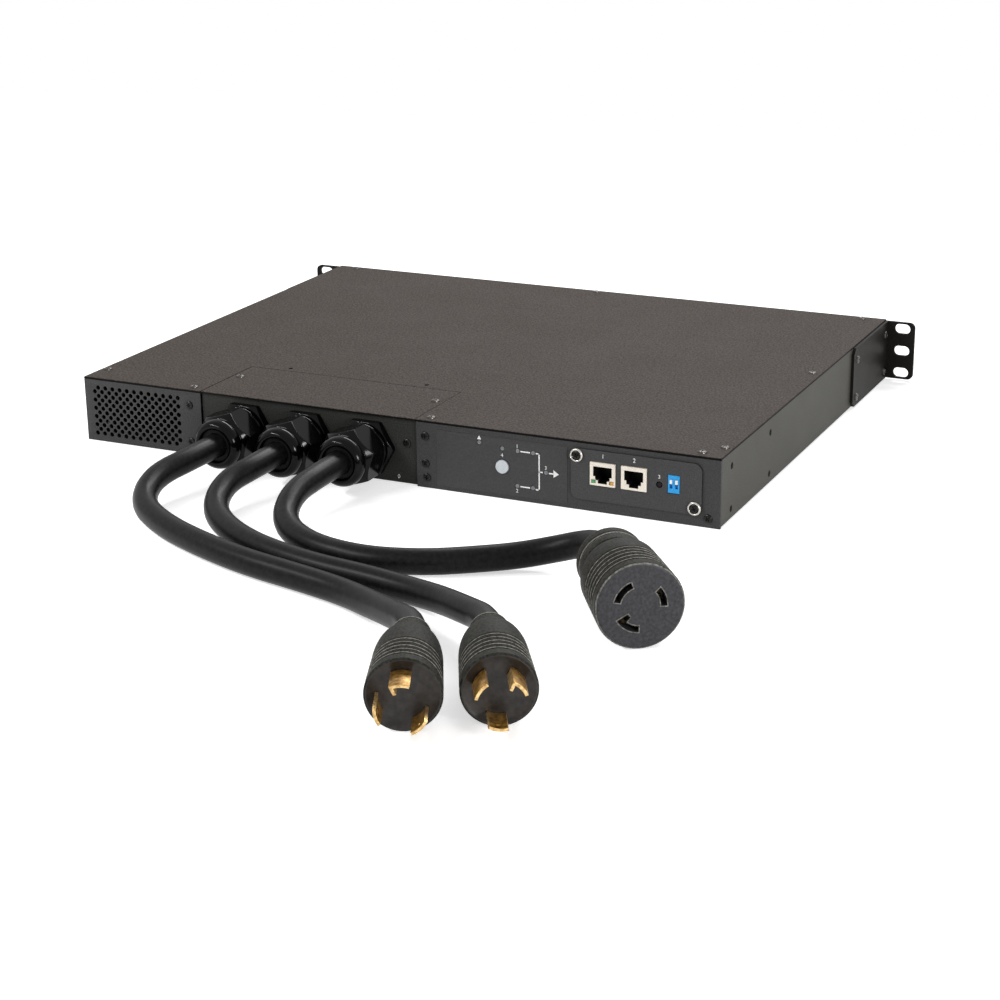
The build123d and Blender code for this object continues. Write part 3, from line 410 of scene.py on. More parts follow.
# %% Every node of the frame gets its finish
finishes = {
    lid_coat_and_seam_shade: ["top_lid", "wiring_cover"],
    tray_coat_and_side_light: ["chassis_tray"],
    ear_coat: ["rack_ear_left", "rack_ear_right"],
    fascia_coat_and_seam_shade: ["grille_panel", "control_panel"],
    card_coat_and_seam_shade: ["card_plate"],
    zinc_sheet: ["bay_partition", "board_spacers", "board_standoffs"],
    grey_steel: ["lid_screws", "cover_screws", "ear_screws"],
    black_steel: ["panel_screws", "card_screws"],
    nickel: ["card_screw_collars"],
    nylon: [f"gland_{kind}_{n}" for kind in ("body", "nut") for n in (1, 2, 3)] + ["gland_locknuts"],
    seal_rubber: [f"gland_seal_{n}" for n in (1, 2, 3)],
    jacket: ["input_cord_1", "input_cord_2", "load_cord"],
    plug_rubber: ["input_plug_1", "input_plug_2", "load_connector"],
    brass: ["input_blades_1", "input_blades_2", "load_contacts"],
    film: ["panel_overlay"],
    lens: ["status_lights"],
    link_lens: ["link_lights"],
    button_plastic: ["test_button"],
    tin_plate: ["network_jack_shield", "local_jack_shield"],
    black_plastic: ["network_jack_insert", "local_jack_insert", "reset_button", "push_switches",
                    "terminal_block"],
    gold: ["jack_contacts"],
    switch_blue: ["slide_switch"],
    switch_white: ["slider_1", "slider_2"],
    board_green: ["control_board", "card_board", "main_board"],
    aluminium: ["heat_sink"],
    epoxy: ["thyristor_modules", "supply_transformer"],
    lead_jacket: ["cord_leads"],
}
for material, names in finishes.items():
    for name in names:
        parts[name].data.materials.clear()
        parts[name].data.materials.append(material)
print("finished nodes", sum(len(names) for names in finishes.values()), "of", len(parts))

# %% [markdown]
# ## Cords
#
# Each cord is stiff three-core cable: straight out of its gland, down to the floor in a slow bend, and then
# along it to its plug. A NURBS curve of order three, led by a few chosen points, has no kinks, which is how
# a thick jacket bends. The points are those of the model's tube, as x, distance out from the fascia, and z.

# %% Cord routes
ROUTES = {
    "input_cord_1": [
        (-97.7, 28.0, 21.5), (-97.7, 59.0, 21.5), (-107.0, 91.0, 17.0), (-98.0, 118.0, 10.0),
        (-70.0, 138.0, 7.5), (-34.0, 156.0, 7.5), (6.0, 171.0, 7.5), (46.0, 180.0, 7.5),
        (77.0, 188.5, 7.5), (104.0, 204.5, 10.0), (126.0, 221.5, 14.5), (143.27, 236.08, 18.5),
        (149.06, 248.83, 18.5),
    ],
    "input_cord_2": [
        (-54.0, 28.0, 21.5), (-54.0, 59.0, 21.5), (-61.5, 83.5, 17.0), (-54.0, 109.0, 10.0),
        (-30.0, 131.0, 7.5), (4.0, 150.0, 7.5), (44.0, 162.0, 7.5), (77.0, 166.0, 7.5),
        (107.0, 172.5, 7.5), (133.0, 184.5, 10.5), (156.0, 202.0, 15.0), (174.74, 216.43, 18.5),
        (181.57, 228.65, 18.5),
    ],
    "load_cord": [
        (-10.3, 28.0, 21.5), (-10.3, 59.0, 21.5), (-13.0, 88.0, 18.0), (-4.0, 114.0, 10.0),
        (24.0, 134.0, 7.5), (62.0, 142.0, 7.5), (96.0, 133.0, 7.5), (120.0, 117.5, 7.5),
        (140.0, 105.5, 8.5), (158.5, 98.5, 12.5), (175.9, 98.8, 18.5), (188.88, 106.30, 23.25),
        (197.0, 117.70, 23.25),
    ],
}
CORD_RADIUS = 7.5


def cord_curve(name):
    """A round cord along a smooth spline that has the route's points as its control points."""
    curve = bpy.data.curves.new(f"{name}_jacket", "CURVE")
    curve.dimensions = "3D"
    curve.bevel_depth = CORD_RADIUS * MM
    curve.bevel_resolution = 8
    curve.resolution_u = 12
    curve.use_fill_caps = True
    spline = curve.splines.new("NURBS")
    spline.points.add(len(ROUTES[name]) - 1)
    for point, (x, out, z) in zip(spline.points, ROUTES[name]):
        point.co = (x * MM, (FASCIA_Y - out) * MM, z * MM, 1)
    spline.order_u = 3
    spline.use_endpoint_u = True
    cord = bpy.data.objects.new(f"{name}_jacket", curve)
    bpy.context.scene.collection.objects.link(cord)
    curve.materials.append(jacket)
    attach(cord, "box")
    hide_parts(name)
    return cord


cords = {name: cord_curve(name) for name in ROUTES}
print("cords", list(cords))

# %% [markdown]
# ## Plugs and connector
#
# A locking plug is a turned, moulded body: a flat face, a plain band, five fine grip rings, and a rounded
# back that narrows to the cord. Turning a profile round its axis gives it in one grid. Each ring is a low
# bead between shallow grooves. Once the mesh is made, its faces are sorted by their place along the axis:
# crests of rings get a pale painted highlight, and the front gets the smooth finish.

# %% Plug profile
PLUGS = {
    "input_plug_1": ((178.8, FASCIA_Y - 314.4, 18.5), -65.6),
    "input_plug_2": ((216.7, FASCIA_Y - 291.5, 18.5), -60.8),
    "load_connector": ((242.3, FASCIA_Y - 181.2, 23.25), -54.5),
}
PLUG_RADIUS, PLUG_REAR_RADIUS = 18.5, 17.2
PLUG_LENGTH, PLUG_SHOULDER, PLUG_NECK = 58.0, 27.0, 14.0
NECK_RADIUS = 10.0
RING_COUNT, RING_BAND, RING_PITCH, RING_DEPTH = 5, 8.4, 4.5, 0.7
RING_PLACES = RING_BAND + RING_PITCH * np.arange(RING_COUNT)[::-1]
FACE_EDGE, FACE_REACH, DISH = 0.9, 12.0, 0.35


def neck(length, radius, shoulder, reach):
    """Neck with two fine rings, then a quarter ellipse: radius grows with sin, distance with 1 - cos."""
    root = NECK_RADIUS + 1.2
    end = -length - reach
    ringed = [(0, end), (NECK_RADIUS - 0.8, end), (NECK_RADIUS, end + 0.8), (NECK_RADIUS, end + 1.8),
              (NECK_RADIUS - 0.6, end + 2.4), (NECK_RADIUS, end + 3.0), (NECK_RADIUS, -length - 1.2)]
    angle = np.linspace(0, np.pi / 2, 14)
    back = np.stack([root + (radius - root) * np.sin(angle), shoulder * (1 - np.cos(angle)) - length], -1)
    return np.concatenate([eased(ringed, 0.3), back])


def grip(radius, rear_radius, rear):
    """A slight taper with five beads, each between two grooves, then the plain band and the face's edge."""
    outer = (radius + (rear_radius - radius) * RING_PLACES / rear)[:, None]
    beads = np.array([(0, -1.9), (-RING_DEPTH, -1.3), (0.1, -0.5), (0.1, 0.1), (-RING_DEPTH, 0.7), (0, 1.6)])
    ringed = np.stack([outer + beads[:, 0], beads[:, 1] - RING_PLACES[:, None]], -1).reshape(-1, 2)
    front = [(radius, -FACE_EDGE), (radius - FACE_EDGE, 0)]
    return eased(np.concatenate([[(rear_radius, -rear)], ringed, front]), 0.3)


def sort_faces(piece, place, radius, crests):
    """Material 1 on crests, given as spans along the axis, and material 2 on the front inside its edge."""
    origin, basis = place
    centre = np.empty(len(piece.data.polygons) * 3)
    piece.data.polygons.foreach_get("center", centre)
    local = (centre.reshape(-1, 3) / MM - np.array(origin)) @ basis.T
    along, r = local[:, 2], np.hypot(local[:, 0], local[:, 1])
    crest = np.any([(along > low) & (along < high) for low, high in crests], axis=0)
    index = np.where(crest, 1, np.where((along > -FACE_REACH) & (r < radius - FACE_EDGE), 2, 0))
    piece.data.polygons.foreach_set("material_index", index.astype(np.int32))


def bead_crests():
    """Span along the axis of each ring's crest."""
    return [(-place - 0.75, -place + 0.3) for place in RING_PLACES]


def plug_body(name):
    """A plug's turned body with a shallow dish in its face, in place of the model's plug."""
    back = neck(PLUG_LENGTH, PLUG_REAR_RADIUS, PLUG_SHOULDER, PLUG_NECK)
    profile = np.concatenate([back, grip(PLUG_RADIUS, PLUG_REAR_RADIUS, PLUG_LENGTH - PLUG_SHOULDER)[1:]])
    dish = [(PLUG_RADIUS - FACE_EDGE, 0), (PLUG_RADIUS - 1.6, 0), (PLUG_RADIUS - 2.0, -DISH),
            (PLUG_RADIUS / 2, -DISH), (0, -DISH)]
    place = looking(*PLUGS[name])
    sheets = [settle(turned(profile, 96), place), settle(turned(dish, 96), place)]
    # Material 1, on the crests and neck rings, is a painted highlight.
    piece = add_piece(grid_mesh(sheets, f"{name}_grip"), [plug_rubber, painted_crest_highlight, plug_face],
                      replaces=[name], sharp=50)
    end = -PLUG_LENGTH - PLUG_NECK
    neck_rings = [(end + 0.6, end + 1.9), (end + 2.7, end + 4.0)]
    sort_faces(piece, place, PLUG_RADIUS, bead_crests() + neck_rings)
    return piece


plug_pieces = {name: plug_body(name) for name in ("input_plug_1", "input_plug_2")}
print("plugs", [piece.name for piece in plug_pieces.values()])

# %% [markdown]
# Each plug has three curved brass blades, which lock when it is pushed in and turned. The first has a foot
# that points inwards. A blade is rolled strip, so its outline is an arc of one thickness, carried out from
# the face, with its stamped edges slightly round. A low dimple is pressed into it near the tip.

# %% Blades
BLADE_CIRCLE, BLADE_THICKNESS, BLADE_LENGTH, FOOT_LENGTH = 12.2, 1.6, 17.0, 3.2
BLADE_TURNS = (0.0, 100.0, 219.0)
BLADE_HALF, BLADE_EDGE, EDGE_LEAN = radians(22.0), 0.22, 0.75
DIMPLE_HEIGHT, DIMPLE_ACROSS, DIMPLE_ALONG, DIMPLE_AT = 0.45, 1.6, 1.1, 12.6
PLUG_ROLLS = {"input_plug_1": 93.0, "input_plug_2": 43.0}


def blade_loop(turn, hooked):
    """Outer arc one way, inner arc back; the hooked blade goes in to its foot between the two."""
    outer, inner = BLADE_CIRCLE + BLADE_THICKNESS / 2, BLADE_CIRCLE - BLADE_THICKNESS / 2
    foot = inner - FOOT_LENGTH
    heel = BLADE_HALF - BLADE_THICKNESS / inner if hooked else BLADE_HALF
    corner = [(foot, BLADE_HALF), (foot, BLADE_HALF - BLADE_THICKNESS / foot)] if hooked else []
    there = np.stack([np.full(13, outer), np.linspace(-BLADE_HALF, BLADE_HALF, 13)], -1)
    back_again = np.stack([np.full(13, inner), np.linspace(heel, -BLADE_HALF, 13)], -1)
    radius, angle = np.concatenate([there, np.reshape(corner, (-1, 2)), back_again]).T
    return np.stack([radius * np.cos(angle + radians(turn)), radius * np.sin(angle + radians(turn))], -1)


def dimple(turn):
    """A low dome on a blade's inner side, near its tip: it stands h (1 - r^2) above the strip."""
    r, angle = np.meshgrid(np.linspace(0, 1, 6), np.linspace(0, 2 * np.pi, 20, endpoint=False), indexing="ij")
    inwards = BLADE_CIRCLE - BLADE_THICKNESS / 2 + 0.05 - DIMPLE_HEIGHT * (1 - r**2)
    along = DIMPLE_ACROSS * r * np.cos(angle) / BLADE_CIRCLE + radians(turn)
    height = DIMPLE_AT + DIMPLE_ALONG * r * np.sin(angle)
    return np.stack([inwards * np.cos(along), inwards * np.sin(along), height], -1)


def blade_set(name):
    """Three blades of a plug and their dimples as one mesh, settled on the plug's face."""
    merged = bmesh.new()
    for way, offset in enumerate(BLADE_TURNS):
        turn = PLUG_ROLLS[name] + offset
        strip = plate_mesh([blade_loop(turn, way == 0)], BLADE_LENGTH, BLADE_EDGE, "blade")
        strip.transform(Matrix.Translation((0, 0, BLADE_LENGTH / 2)))
        merged.from_mesh(strip)
        merged.from_mesh(grid_mesh([dimple(turn)], "dimple"))
    mesh = bpy.data.meshes.new(f"{name}_blades")
    merged.to_mesh(mesh)
    merged.free()
    return settle_mesh(mesh, looking(*PLUGS[name]))


def bright_edges(piece, place):
    """Material 1 where a face looks neither to the axis nor away from it: the strip's sheared edges."""
    origin, basis = place
    faces = len(piece.data.polygons)
    centre, normal = np.empty(faces * 3), np.empty(faces * 3)
    piece.data.polygons.foreach_get("center", centre)
    piece.data.polygons.foreach_get("normal", normal)
    outwards = ((centre.reshape(-1, 3) / MM - np.array(origin)) @ basis.T)[:, :2]
    outwards /= np.maximum(np.linalg.norm(outwards, axis=1, keepdims=True), 1e-9)
    lean = np.abs(np.sum((normal.reshape(-1, 3) @ basis.T)[:, :2] * outwards, axis=1))
    piece.data.polygons.foreach_set("material_index", (lean < EDGE_LEAN).astype(np.int32))


blade_pieces = {}
for name in PLUG_ROLLS:
    blade_pieces[name] = add_piece(blade_set(name), [brass, edge_brass],
                                   replaces=[name.replace("plug", "blades")])
    bright_edges(blade_pieces[name], looking(*PLUGS[name]))
print("blades", [piece.name for piece in blade_pieces.values()])

# %% [markdown]
# The connector's face has three curved slots, the mirror image of a plug's blades, each with a thin raised
# lip. On a polar grid a slot is just the cells that lie deep, and its lip the cells round it that stand up.
# Grid lines run along each edge, doubled, so that the walls stand upright.

# %% Connector with its slots
CONNECTOR_RADIUS, CONNECTOR_REAR_RADIUS, CONNECTOR_REAR = 23.25, 21.6, 41.0
SLOT_WIDTH, SLOT_DEPTH, LIP_WIDTH, LIP_HEIGHT = 3.2, 9.0, 0.6, 0.25
CONNECTOR_ROLL = 238.5
SLOT_CENTRES = np.radians(CONNECTOR_ROLL - np.array(BLADE_TURNS))
SLOT_HALVES = np.radians([28.0, 28.0, 22.0])
# Radii of a slot's walls and of its foot, and the angle at which the foot starts
INNER, OUTER = BLADE_CIRCLE - SLOT_WIDTH / 2, BLADE_CIRCLE + SLOT_WIDTH / 2
FOOT, HEEL = INNER - FOOT_LENGTH, SLOT_HALVES[0] - SLOT_WIDTH / INNER
WALL = 0.05


def both_sides(lines, gap):
    """Each grid line twice, a little before and a little after its place."""
    return np.concatenate([np.asarray(lines) - gap / 2, np.asarray(lines) + gap / 2])


def in_slot(r, a, spare):
    """True inside a slot or its foot, each widened on every side by `spare` millimetres."""
    lean = np.mod(SLOT_CENTRES - a[..., None] + np.pi, 2 * np.pi) - np.pi
    angle = spare / BLADE_CIRCLE
    arc = (r > INNER - spare) & (r < OUTER + spare) & (np.abs(lean) < SLOT_HALVES + angle).any(-1)
    hook = (lean[..., 0] > HEEL - angle) & (lean[..., 0] < SLOT_HALVES[0] + angle)
    return arc | (hook & (r > FOOT - spare) & (r < OUTER + spare))


def slot_sheet(radius):
    """Polar grid of the face: z = -depth inside a slot, + lip height close round it, else 0."""
    r_edges = [FOOT - LIP_WIDTH, FOOT, INNER - LIP_WIDTH, INNER, OUTER, OUTER + LIP_WIDTH]
    r_lines = np.sort(np.concatenate([np.linspace(0, radius - FACE_EDGE, 18), both_sides(r_edges, WALL)]))
    edges = np.concatenate([SLOT_CENTRES - SLOT_HALVES, SLOT_CENTRES + SLOT_HALVES, [SLOT_CENTRES[0] - HEEL]])
    edges = np.concatenate([edges, edges - LIP_WIDTH / BLADE_CIRCLE, edges + LIP_WIDTH / BLADE_CIRCLE])
    angles = np.concatenate([np.linspace(0, 2 * np.pi, 96, endpoint=False),
                             both_sides(edges, WALL / BLADE_CIRCLE)])
    r, a = np.meshgrid(r_lines, np.sort(np.mod(angles, 2 * np.pi)), indexing="ij")
    lip = np.where(in_slot(r, a, LIP_WIDTH), LIP_HEIGHT, 0.0)
    return np.stack([r * np.cos(a), r * np.sin(a), np.where(in_slot(r, a, 0), -SLOT_DEPTH, lip)], -1)


collar = eased([
    (18.5, -64.0), (18.5, -60.6), (17.8, -60.0), (18.5, -59.4), (18.5, -57.8), (17.8, -57.2), (18.5, -56.6),
    (18.5, -50.6), (16.6, -48.8), (18.4, -46.6), (20.6, -44.2), (CONNECTOR_REAR_RADIUS, -CONNECTOR_REAR),
], 0.5)
front_grip = grip(CONNECTOR_RADIUS, CONNECTOR_REAR_RADIUS, CONNECTOR_REAR)
shell = np.concatenate([neck(72.0, 18.5, 8.0, 6.0), collar[1:], front_grip[1:]])
place = looking(*PLUGS["load_connector"])
sheets = [settle(turned(shell, 96), place), settle(slot_sheet(CONNECTOR_RADIUS), place)]
connector = add_piece(grid_mesh(sheets, "load_connector_grip"), [plug_rubber, painted_crest_highlight, connector_face],
                      replaces=["load_connector"], sharp=50)
# Face rim, collar rings and slot lips take the painted highlight too.
FACE_RIM, COLLAR_RINGS, LIPS = (-0.75, -0.15), [(-59.5, -57.7), (-56.7, -55.9)], (0.05, 1)
sort_faces(connector, place, CONNECTOR_RADIUS, bead_crests() + [FACE_RIM, *COLLAR_RINGS, LIPS])
print("connector faces", len(connector.data.polygons))

# %% The first point of each cord's route
for name, cord in cords.items():
    x, out, z = ROUTES[name][0]

# %% [markdown]
# ## Cable glands
#
# A dome nut is turned from hexagon stock. So its radius is the smaller of two: the turned profile, which
# depends on the distance out, and the hexagon, which depends on the angle. Where the cone of the dome meets
# a flat, that minimum draws the curved corner facets by itself.

# %% Dome nuts and collars
GLAND_X = [-97.7, -54.0, -10.3]
GLAND_Z, GLAND_FLATS = 21.5, 33.0
HEX_RADIUS = GLAND_FLATS / 2 / cos(radians(30))


def dense(profile, step=0.3):
    """The same profile with a point at every step along it, so that the hexagon's cut runs smoothly."""
    points = np.asarray(profile, float)
    along = np.concatenate([[0], np.cumsum(np.linalg.norm(np.diff(points, axis=0), axis=1))])
    at = np.union1d(np.arange(0, along[-1], step), along)
    return np.stack([np.interp(at, along, points[:, 0]), np.interp(at, along, points[:, 1])], -1)


def hexagon_cut(profile, turn, steps=144):
    """Radius = the smaller of the turned profile and flats / 2 / cos(angle from the nearest flat)."""
    points = turned(dense(profile), steps)
    angle = np.linspace(0, 2 * np.pi, steps, endpoint=False)
    nearest = np.mod(angle - radians(turn) + np.pi / 6, np.pi / 3) - np.pi / 6
    hexagon = GLAND_FLATS / 2 / np.cos(nearest)
    radius = np.hypot(points[..., 0], points[..., 1])
    share = np.minimum(1.0, hexagon / np.maximum(radius, 1e-6))
    points[..., :2] *= share[..., None]
    return points


nut_profile = np.concatenate([
    eased([(12.9, 8.2), (16.4, 8.2), (17.0, 8.8), (17.0, 9.8), (16.3, 10.2), (16.3, 10.8), (17.1, 11.2),
           (HEX_RADIUS, 13.6), (HEX_RADIUS, 26.6), (15.5, 30.6), (14.9, 30.9), (14.9, 31.5), (15.5, 32.0)],
          0.4),
    eased([(15.5, 32.0), (16.0, 34.4), (15.2, 37.4), (13.2, 39.4), (11.4, 39.5), (10.3, 38.6), (10.2, 36.6)],
          1.2, 6),
    [(12.0, 36.4), (12.9, 36.0), (12.9, 8.2)],
])
collar_profile = np.concatenate([
    [(8.8, -12.0), (12.4, -12.0), (12.4, 0.0)],
    eased([(12.4, 0.0), (HEX_RADIUS, 0.0), (HEX_RADIUS, 3.4), (16.0, 5.5), (12.4, 5.5)], 0.7),
    [(12.4, 24.0), (8.8, 24.0), (8.8, -12.0)],
])
for number, x in enumerate(GLAND_X, start=1):
    place = looking((x, WALL_Y, GLAND_Z), CORD_SIDE)
    for kind, profile, turn in (("nut", nut_profile, 45), ("body", collar_profile, 30)):
        mesh = grid_mesh([settle(hexagon_cut(profile, turn), place)], f"gland_{kind}_{number}_moulded")
        add_piece(mesh, [nylon], replaces=[f"gland_{kind}_{number}"], sharp=28)
print("glands", len(GLAND_X))

# %% [markdown]
# ## Air grille
#
# The grille is punched sheet: staggered round holes in twelve rows. A filled flat curve takes the outline and
# every hole as one loop each, and gives the punched edges a small round.

# %% Grille panel
GRILLE_LEFT, GRILLE_TOP = -212.2, 36.4
HOLE_PITCH, ROW_STEP, HOLE_RADIUS = 5.59, 2.82, 1.5
rows, columns = np.meshgrid(np.arange(12), np.arange(12), indexing="ij")
hole_x = GRILLE_LEFT + columns * HOLE_PITCH + (rows % 2 == 0) * HOLE_PITCH / 2
hole_z = GRILLE_TOP - rows * ROW_STEP
punched = [circle_points(x, z, HOLE_RADIUS, 14) for x, z in zip(hole_x.ravel(), hole_z.ravel())]
fascia_plate("grille_panel", "grille_panel_punched", punched, 0.15, fascia_coat_and_seam_shade)
print("grille holes", hole_x.size)

# %% [markdown]
# ## Screws
#
# Pan heads with a cross recess. On a polar grid the head is a dome, and the recess is a dip wherever a point
# lies inside one of two crossed bars, with soft sides as a punch leaves them. Each head in a group is turned
# a little further than the one before.

# %% Cross-recess heads
HEAD_RADIUS, HEAD_HEIGHT = 2.7, 1.1
BAR_HALF, BAR_REACH, BAR_SLOPE, RECESS = 0.36, 1.45, 0.2, 0.7


def screw_head(turn, radius=HEAD_RADIUS, height=HEAD_HEIGHT):
    """Height = H (1 - (r/R)^3)^(1/3), less the recess where the point is inside either crossed bar."""
    r = np.concatenate([np.linspace(0, radius, 16), [0.5 * radius, 0]])
    angle = np.linspace(0, 2 * np.pi, 48, endpoint=False)
    x, y = np.outer(r, np.cos(angle)), np.outer(r, np.sin(angle))
    dome = height * np.clip(1 - (r / radius) ** 3, 0, 1) ** (1 / 3)
    dome[-2:] = 0
    u, v = x * cos(turn) + y * sin(turn), y * cos(turn) - x * sin(turn)
    first = np.maximum(np.abs(u) - BAR_HALF, np.abs(v) - BAR_REACH)
    second = np.maximum(np.abs(v) - BAR_HALF, np.abs(u) - BAR_REACH)
    dip = np.clip(-np.minimum(first, second) / BAR_SLOPE, 0, 1) * RECESS
    dip[-3:] = 0
    return np.stack([x, y, dome[:, None] - dip], -1)


bay_left, bay_right = -130.7, 23.5
flange_y = WALL_Y + 5.0
lid_seats = [(-HALF_WIDTH + 5, FASCIA_Y + 20), (HALF_WIDTH - 5, FASCIA_Y + 20), (bay_left - 8.6, flange_y),
             (bay_right + 7.5, flange_y), (HALF_WIDTH - 14, flange_y), (-HALF_WIDTH + 16, FAR_Y - 5),
             (0, FAR_Y - 5), (HALF_WIDTH - 16, FAR_Y - 5), (HALF_WIDTH - 6, 37.5)]
cover_seats = [(bay_left + 6, FASCIA_Y + 39), (bay_right - 6, FASCIA_Y + 39)]
panel_seats = [(bay_left - 8.6, 32.7), (bay_left - 8.6, 8.3), (bay_right + 6.5, 33.0),
               (bay_right + 6.5, 15.6), (bay_right + 7.2, 6.6), (HALF_WIDTH - 7.4, 5.5)]
SIDE_LEVELS, EAR_SHEET = (6.8, 33.2), 2
ear_seats = [(y, z) for y in (FAR_Y - 77, FAR_Y - 7) for z in SIDE_LEVELS]
seats = {
    "lid_screws": [looking_up((x, y, LID_TOP)) for x, y in lid_seats],
    "cover_screws": [looking_up((x, y, LID_TOP)) for x, y in cover_seats],
    "panel_screws": [looking((x, FASCIA_Y, z), CORD_SIDE) for x, z in panel_seats]
    + [looking((bay_right - 6.8, WALL_Y, 26.4), CORD_SIDE)],
    "ear_screws": [looking((HALF_WIDTH + EAR_SHEET, y, z), RIGHT_SIDE) for y, z in ear_seats]
    + [looking((-HALF_WIDTH - EAR_SHEET, y, z), LEFT_SIDE) for y, z in ear_seats],
}
for name, places in seats.items():
    heads = [settle(screw_head(0.7 * i + 0.3), place) for i, place in enumerate(places)]
    finish = black_steel if name == "panel_screws" else grey_steel
    add_piece(grid_mesh(heads, f"{name}_cross"), [finish], replaces=[name])
    print(name, len(places))

# %% [markdown]
# Thin sheet can't hold a thread, so each open ear hole near the cords has a nut pressed in from inside. It is
# a short ring with an open bore, deep enough that no daylight shows at a slant through the grille.

# %% Press nuts behind the open side holes
NUT_RADIUS, NUT_BORE, NUT_DEPTH, SIDE_SHEET = 4.2, 2.15, 3.2, 1.2
nut_ring = [(NUT_BORE, 0), (NUT_RADIUS, 0), (NUT_RADIUS, NUT_DEPTH), (NUT_BORE, NUT_DEPTH), (NUT_BORE, 0)]
inner_x = HALF_WIDTH - SIDE_SHEET
nut_places = [looking((x, FASCIA_Y + behind, z), heading)
              for x, heading in ((-inner_x, RIGHT_SIDE), (inner_x, LEFT_SIDE))
              for behind in (18.5, 88.5) for z in SIDE_LEVELS]
nut_sheets = [settle(turned(nut_ring, 32), place) for place in nut_places]
add_piece(grid_mesh(nut_sheets, "side_press_nuts"), [black_steel])
print("press nuts", len(nut_places))

# %% [markdown]
# ## Network card
#
# The card's plate is a separate sheet that stands proud of the fascia, held by two captive screws: bright
# collars with black cross heads inside.

# %% Card plate, collars and screws
OPENING_GAP, CARD_CORNER = 0.3, 5.0
SWITCH_OPENING = (18.2, 29.6)
RESET_HOLE = (182.6, 22.6, 2.0)
jacks = {name: box_mm(f"{name}_jack_shield") for name in ("network", "local")}
openings = [rectangle_points(low[0] - OPENING_GAP, high[0] + OPENING_GAP,
                             low[2] - OPENING_GAP, high[2] + OPENING_GAP) for low, high in jacks.values()]
low, high = box_mm("slide_switch")
openings.append(rectangle_points(low[0] - OPENING_GAP, high[0] + OPENING_GAP, *SWITCH_OPENING))
openings.append(circle_points(*RESET_HOLE))
card = fascia_plate("card_plate", "card_plate_pressed", openings, 0.2, card_coat_and_seam_shade, CARD_CORNER)

collar_ring = eased([(2.95, 0), (4.25, 0), (4.25, 0.8), (3.7, 1.5), (2.95, 1.3), (2.95, 0)], 0.3)
card_seats = [looking((x, CARD_Y, z), CORD_SIDE) for x, z in ((130.6, 34.2), (204.6, 11.1))]
collar_sheets = [settle(turned(collar_ring, 48), place) for place in card_seats]
collars = add_piece(grid_mesh(collar_sheets, "card_collars"), [nickel],
                    replaces=["card_screw_collars"])
heads = [settle(screw_head(0.4, radius=2.9, height=1.5), place) for place in card_seats]
card_screws = add_piece(grid_mesh(heads, "card_cross_screws"), [black_steel], replaces=["card_screws"])
print("card pieces", card.name, collars.name, card_screws.name)

# %% [markdown]
# A modular socket's shield wraps round its front too. The front is a thin plate whose opening steps in twice
# towards the bottom, where the plug's latch goes. The network socket's lights look through its lower corners.

# %% Socket fronts
FRONT_SHEET, LAMP_WIDTH = 0.25, 2.8


def latch_loop(middle, low, high):
    """Half widths and heights of the stepped opening, mirrored about the socket's middle."""
    steps = np.array([(5.9, high - 2.5), (5.9, low + 5.6), (4.6, low + 5.6), (4.6, low + 3.3),
                      (2.9, low + 3.3), (2.9, low + 1.4)])
    mirrored = steps[::-1] * (-1, 1)
    return np.concatenate([steps, mirrored]) + (middle, 0)


for name, ((left, front_y, foot), (right, _, top)) in jacks.items():
    loops = [rectangle_points(left, right, foot, top, 0.5, 4), latch_loop((left + right) / 2, foot, top)]
    if name == "network":
        loops += [rectangle_points(x, x + LAMP_WIDTH, lamp_low[2], lamp_high[2])
                  for x in (lamp_low[0], lamp_high[0] - LAMP_WIDTH)]
    mesh = plate_mesh(loops, FRONT_SHEET, 0.06, f"{name}_jack_front")
    settle_mesh(mesh, looking((0, front_y - FRONT_SHEET / 2, 0), CORD_SIDE))
    add_piece(mesh, [tin_plate])
    print(mesh.name, "opening steps in twice")

# %% [markdown]
# ## Mimic panel
#
# A printed film shows the power path as white lines: two inputs on the left run to one bar, and an arrow
# leaves to the right. Small round windows carry the lights, and a pale button stands in the middle. Marks
# are plain numbers.

# %% Film, lights and button
LIGHTS = [(66.5, 33.6), (81.7, 31.6), (91.8, 31.3), (101.9, 31.2), (91.5, 9.2), (101.7, 9.2), (110.2, 20.0)]
BUTTON = (81.6, 20.2)
BUTTON_HOLE, LIGHT_HOLE = 4.5, 1.6
openings = [circle_points(*BUTTON, BUTTON_HOLE, 40)] + [circle_points(x, z, LIGHT_HOLE) for x, z in LIGHTS]
panel_film = fascia_plate("panel_overlay", "panel_film", openings, 0.05, film)

lens_profile = eased([(0, 0.35), (0.9, 0.3), (1.4, 0.0), (1.4, -8.0), (0, -8.0)], 0.4)
lens_sheets = [settle(turned(lens_profile, 20), looking((x, FILM_Y, z), CORD_SIDE)) for x, z in LIGHTS]
lights = add_piece(grid_mesh(lens_sheets, "light_lenses"), [lens], replaces=["status_lights"])

button_profile = np.concatenate([[(0, 0.95)], eased([(3.2, 0.95), (4.2, 0.9), (4.2, -2.0)], 0.5),
                                 [(5.4, -2.05), (5.4, -3.0), (2.1, -3.05), (2.1, -4.0), (0, -4.0)]])
cap = settle(turned(button_profile, 48), looking((BUTTON[0], FILM_Y, BUTTON[1]), CORD_SIDE))
button = add_piece(grid_mesh([cap], "test_button_cap"), [button_plastic], body="test_button",
                   replaces=["test_button"])
print("film, lights and button", panel_film.name, lights.name, button.name)

# %% Printed lines and numbers
INK = 0.04
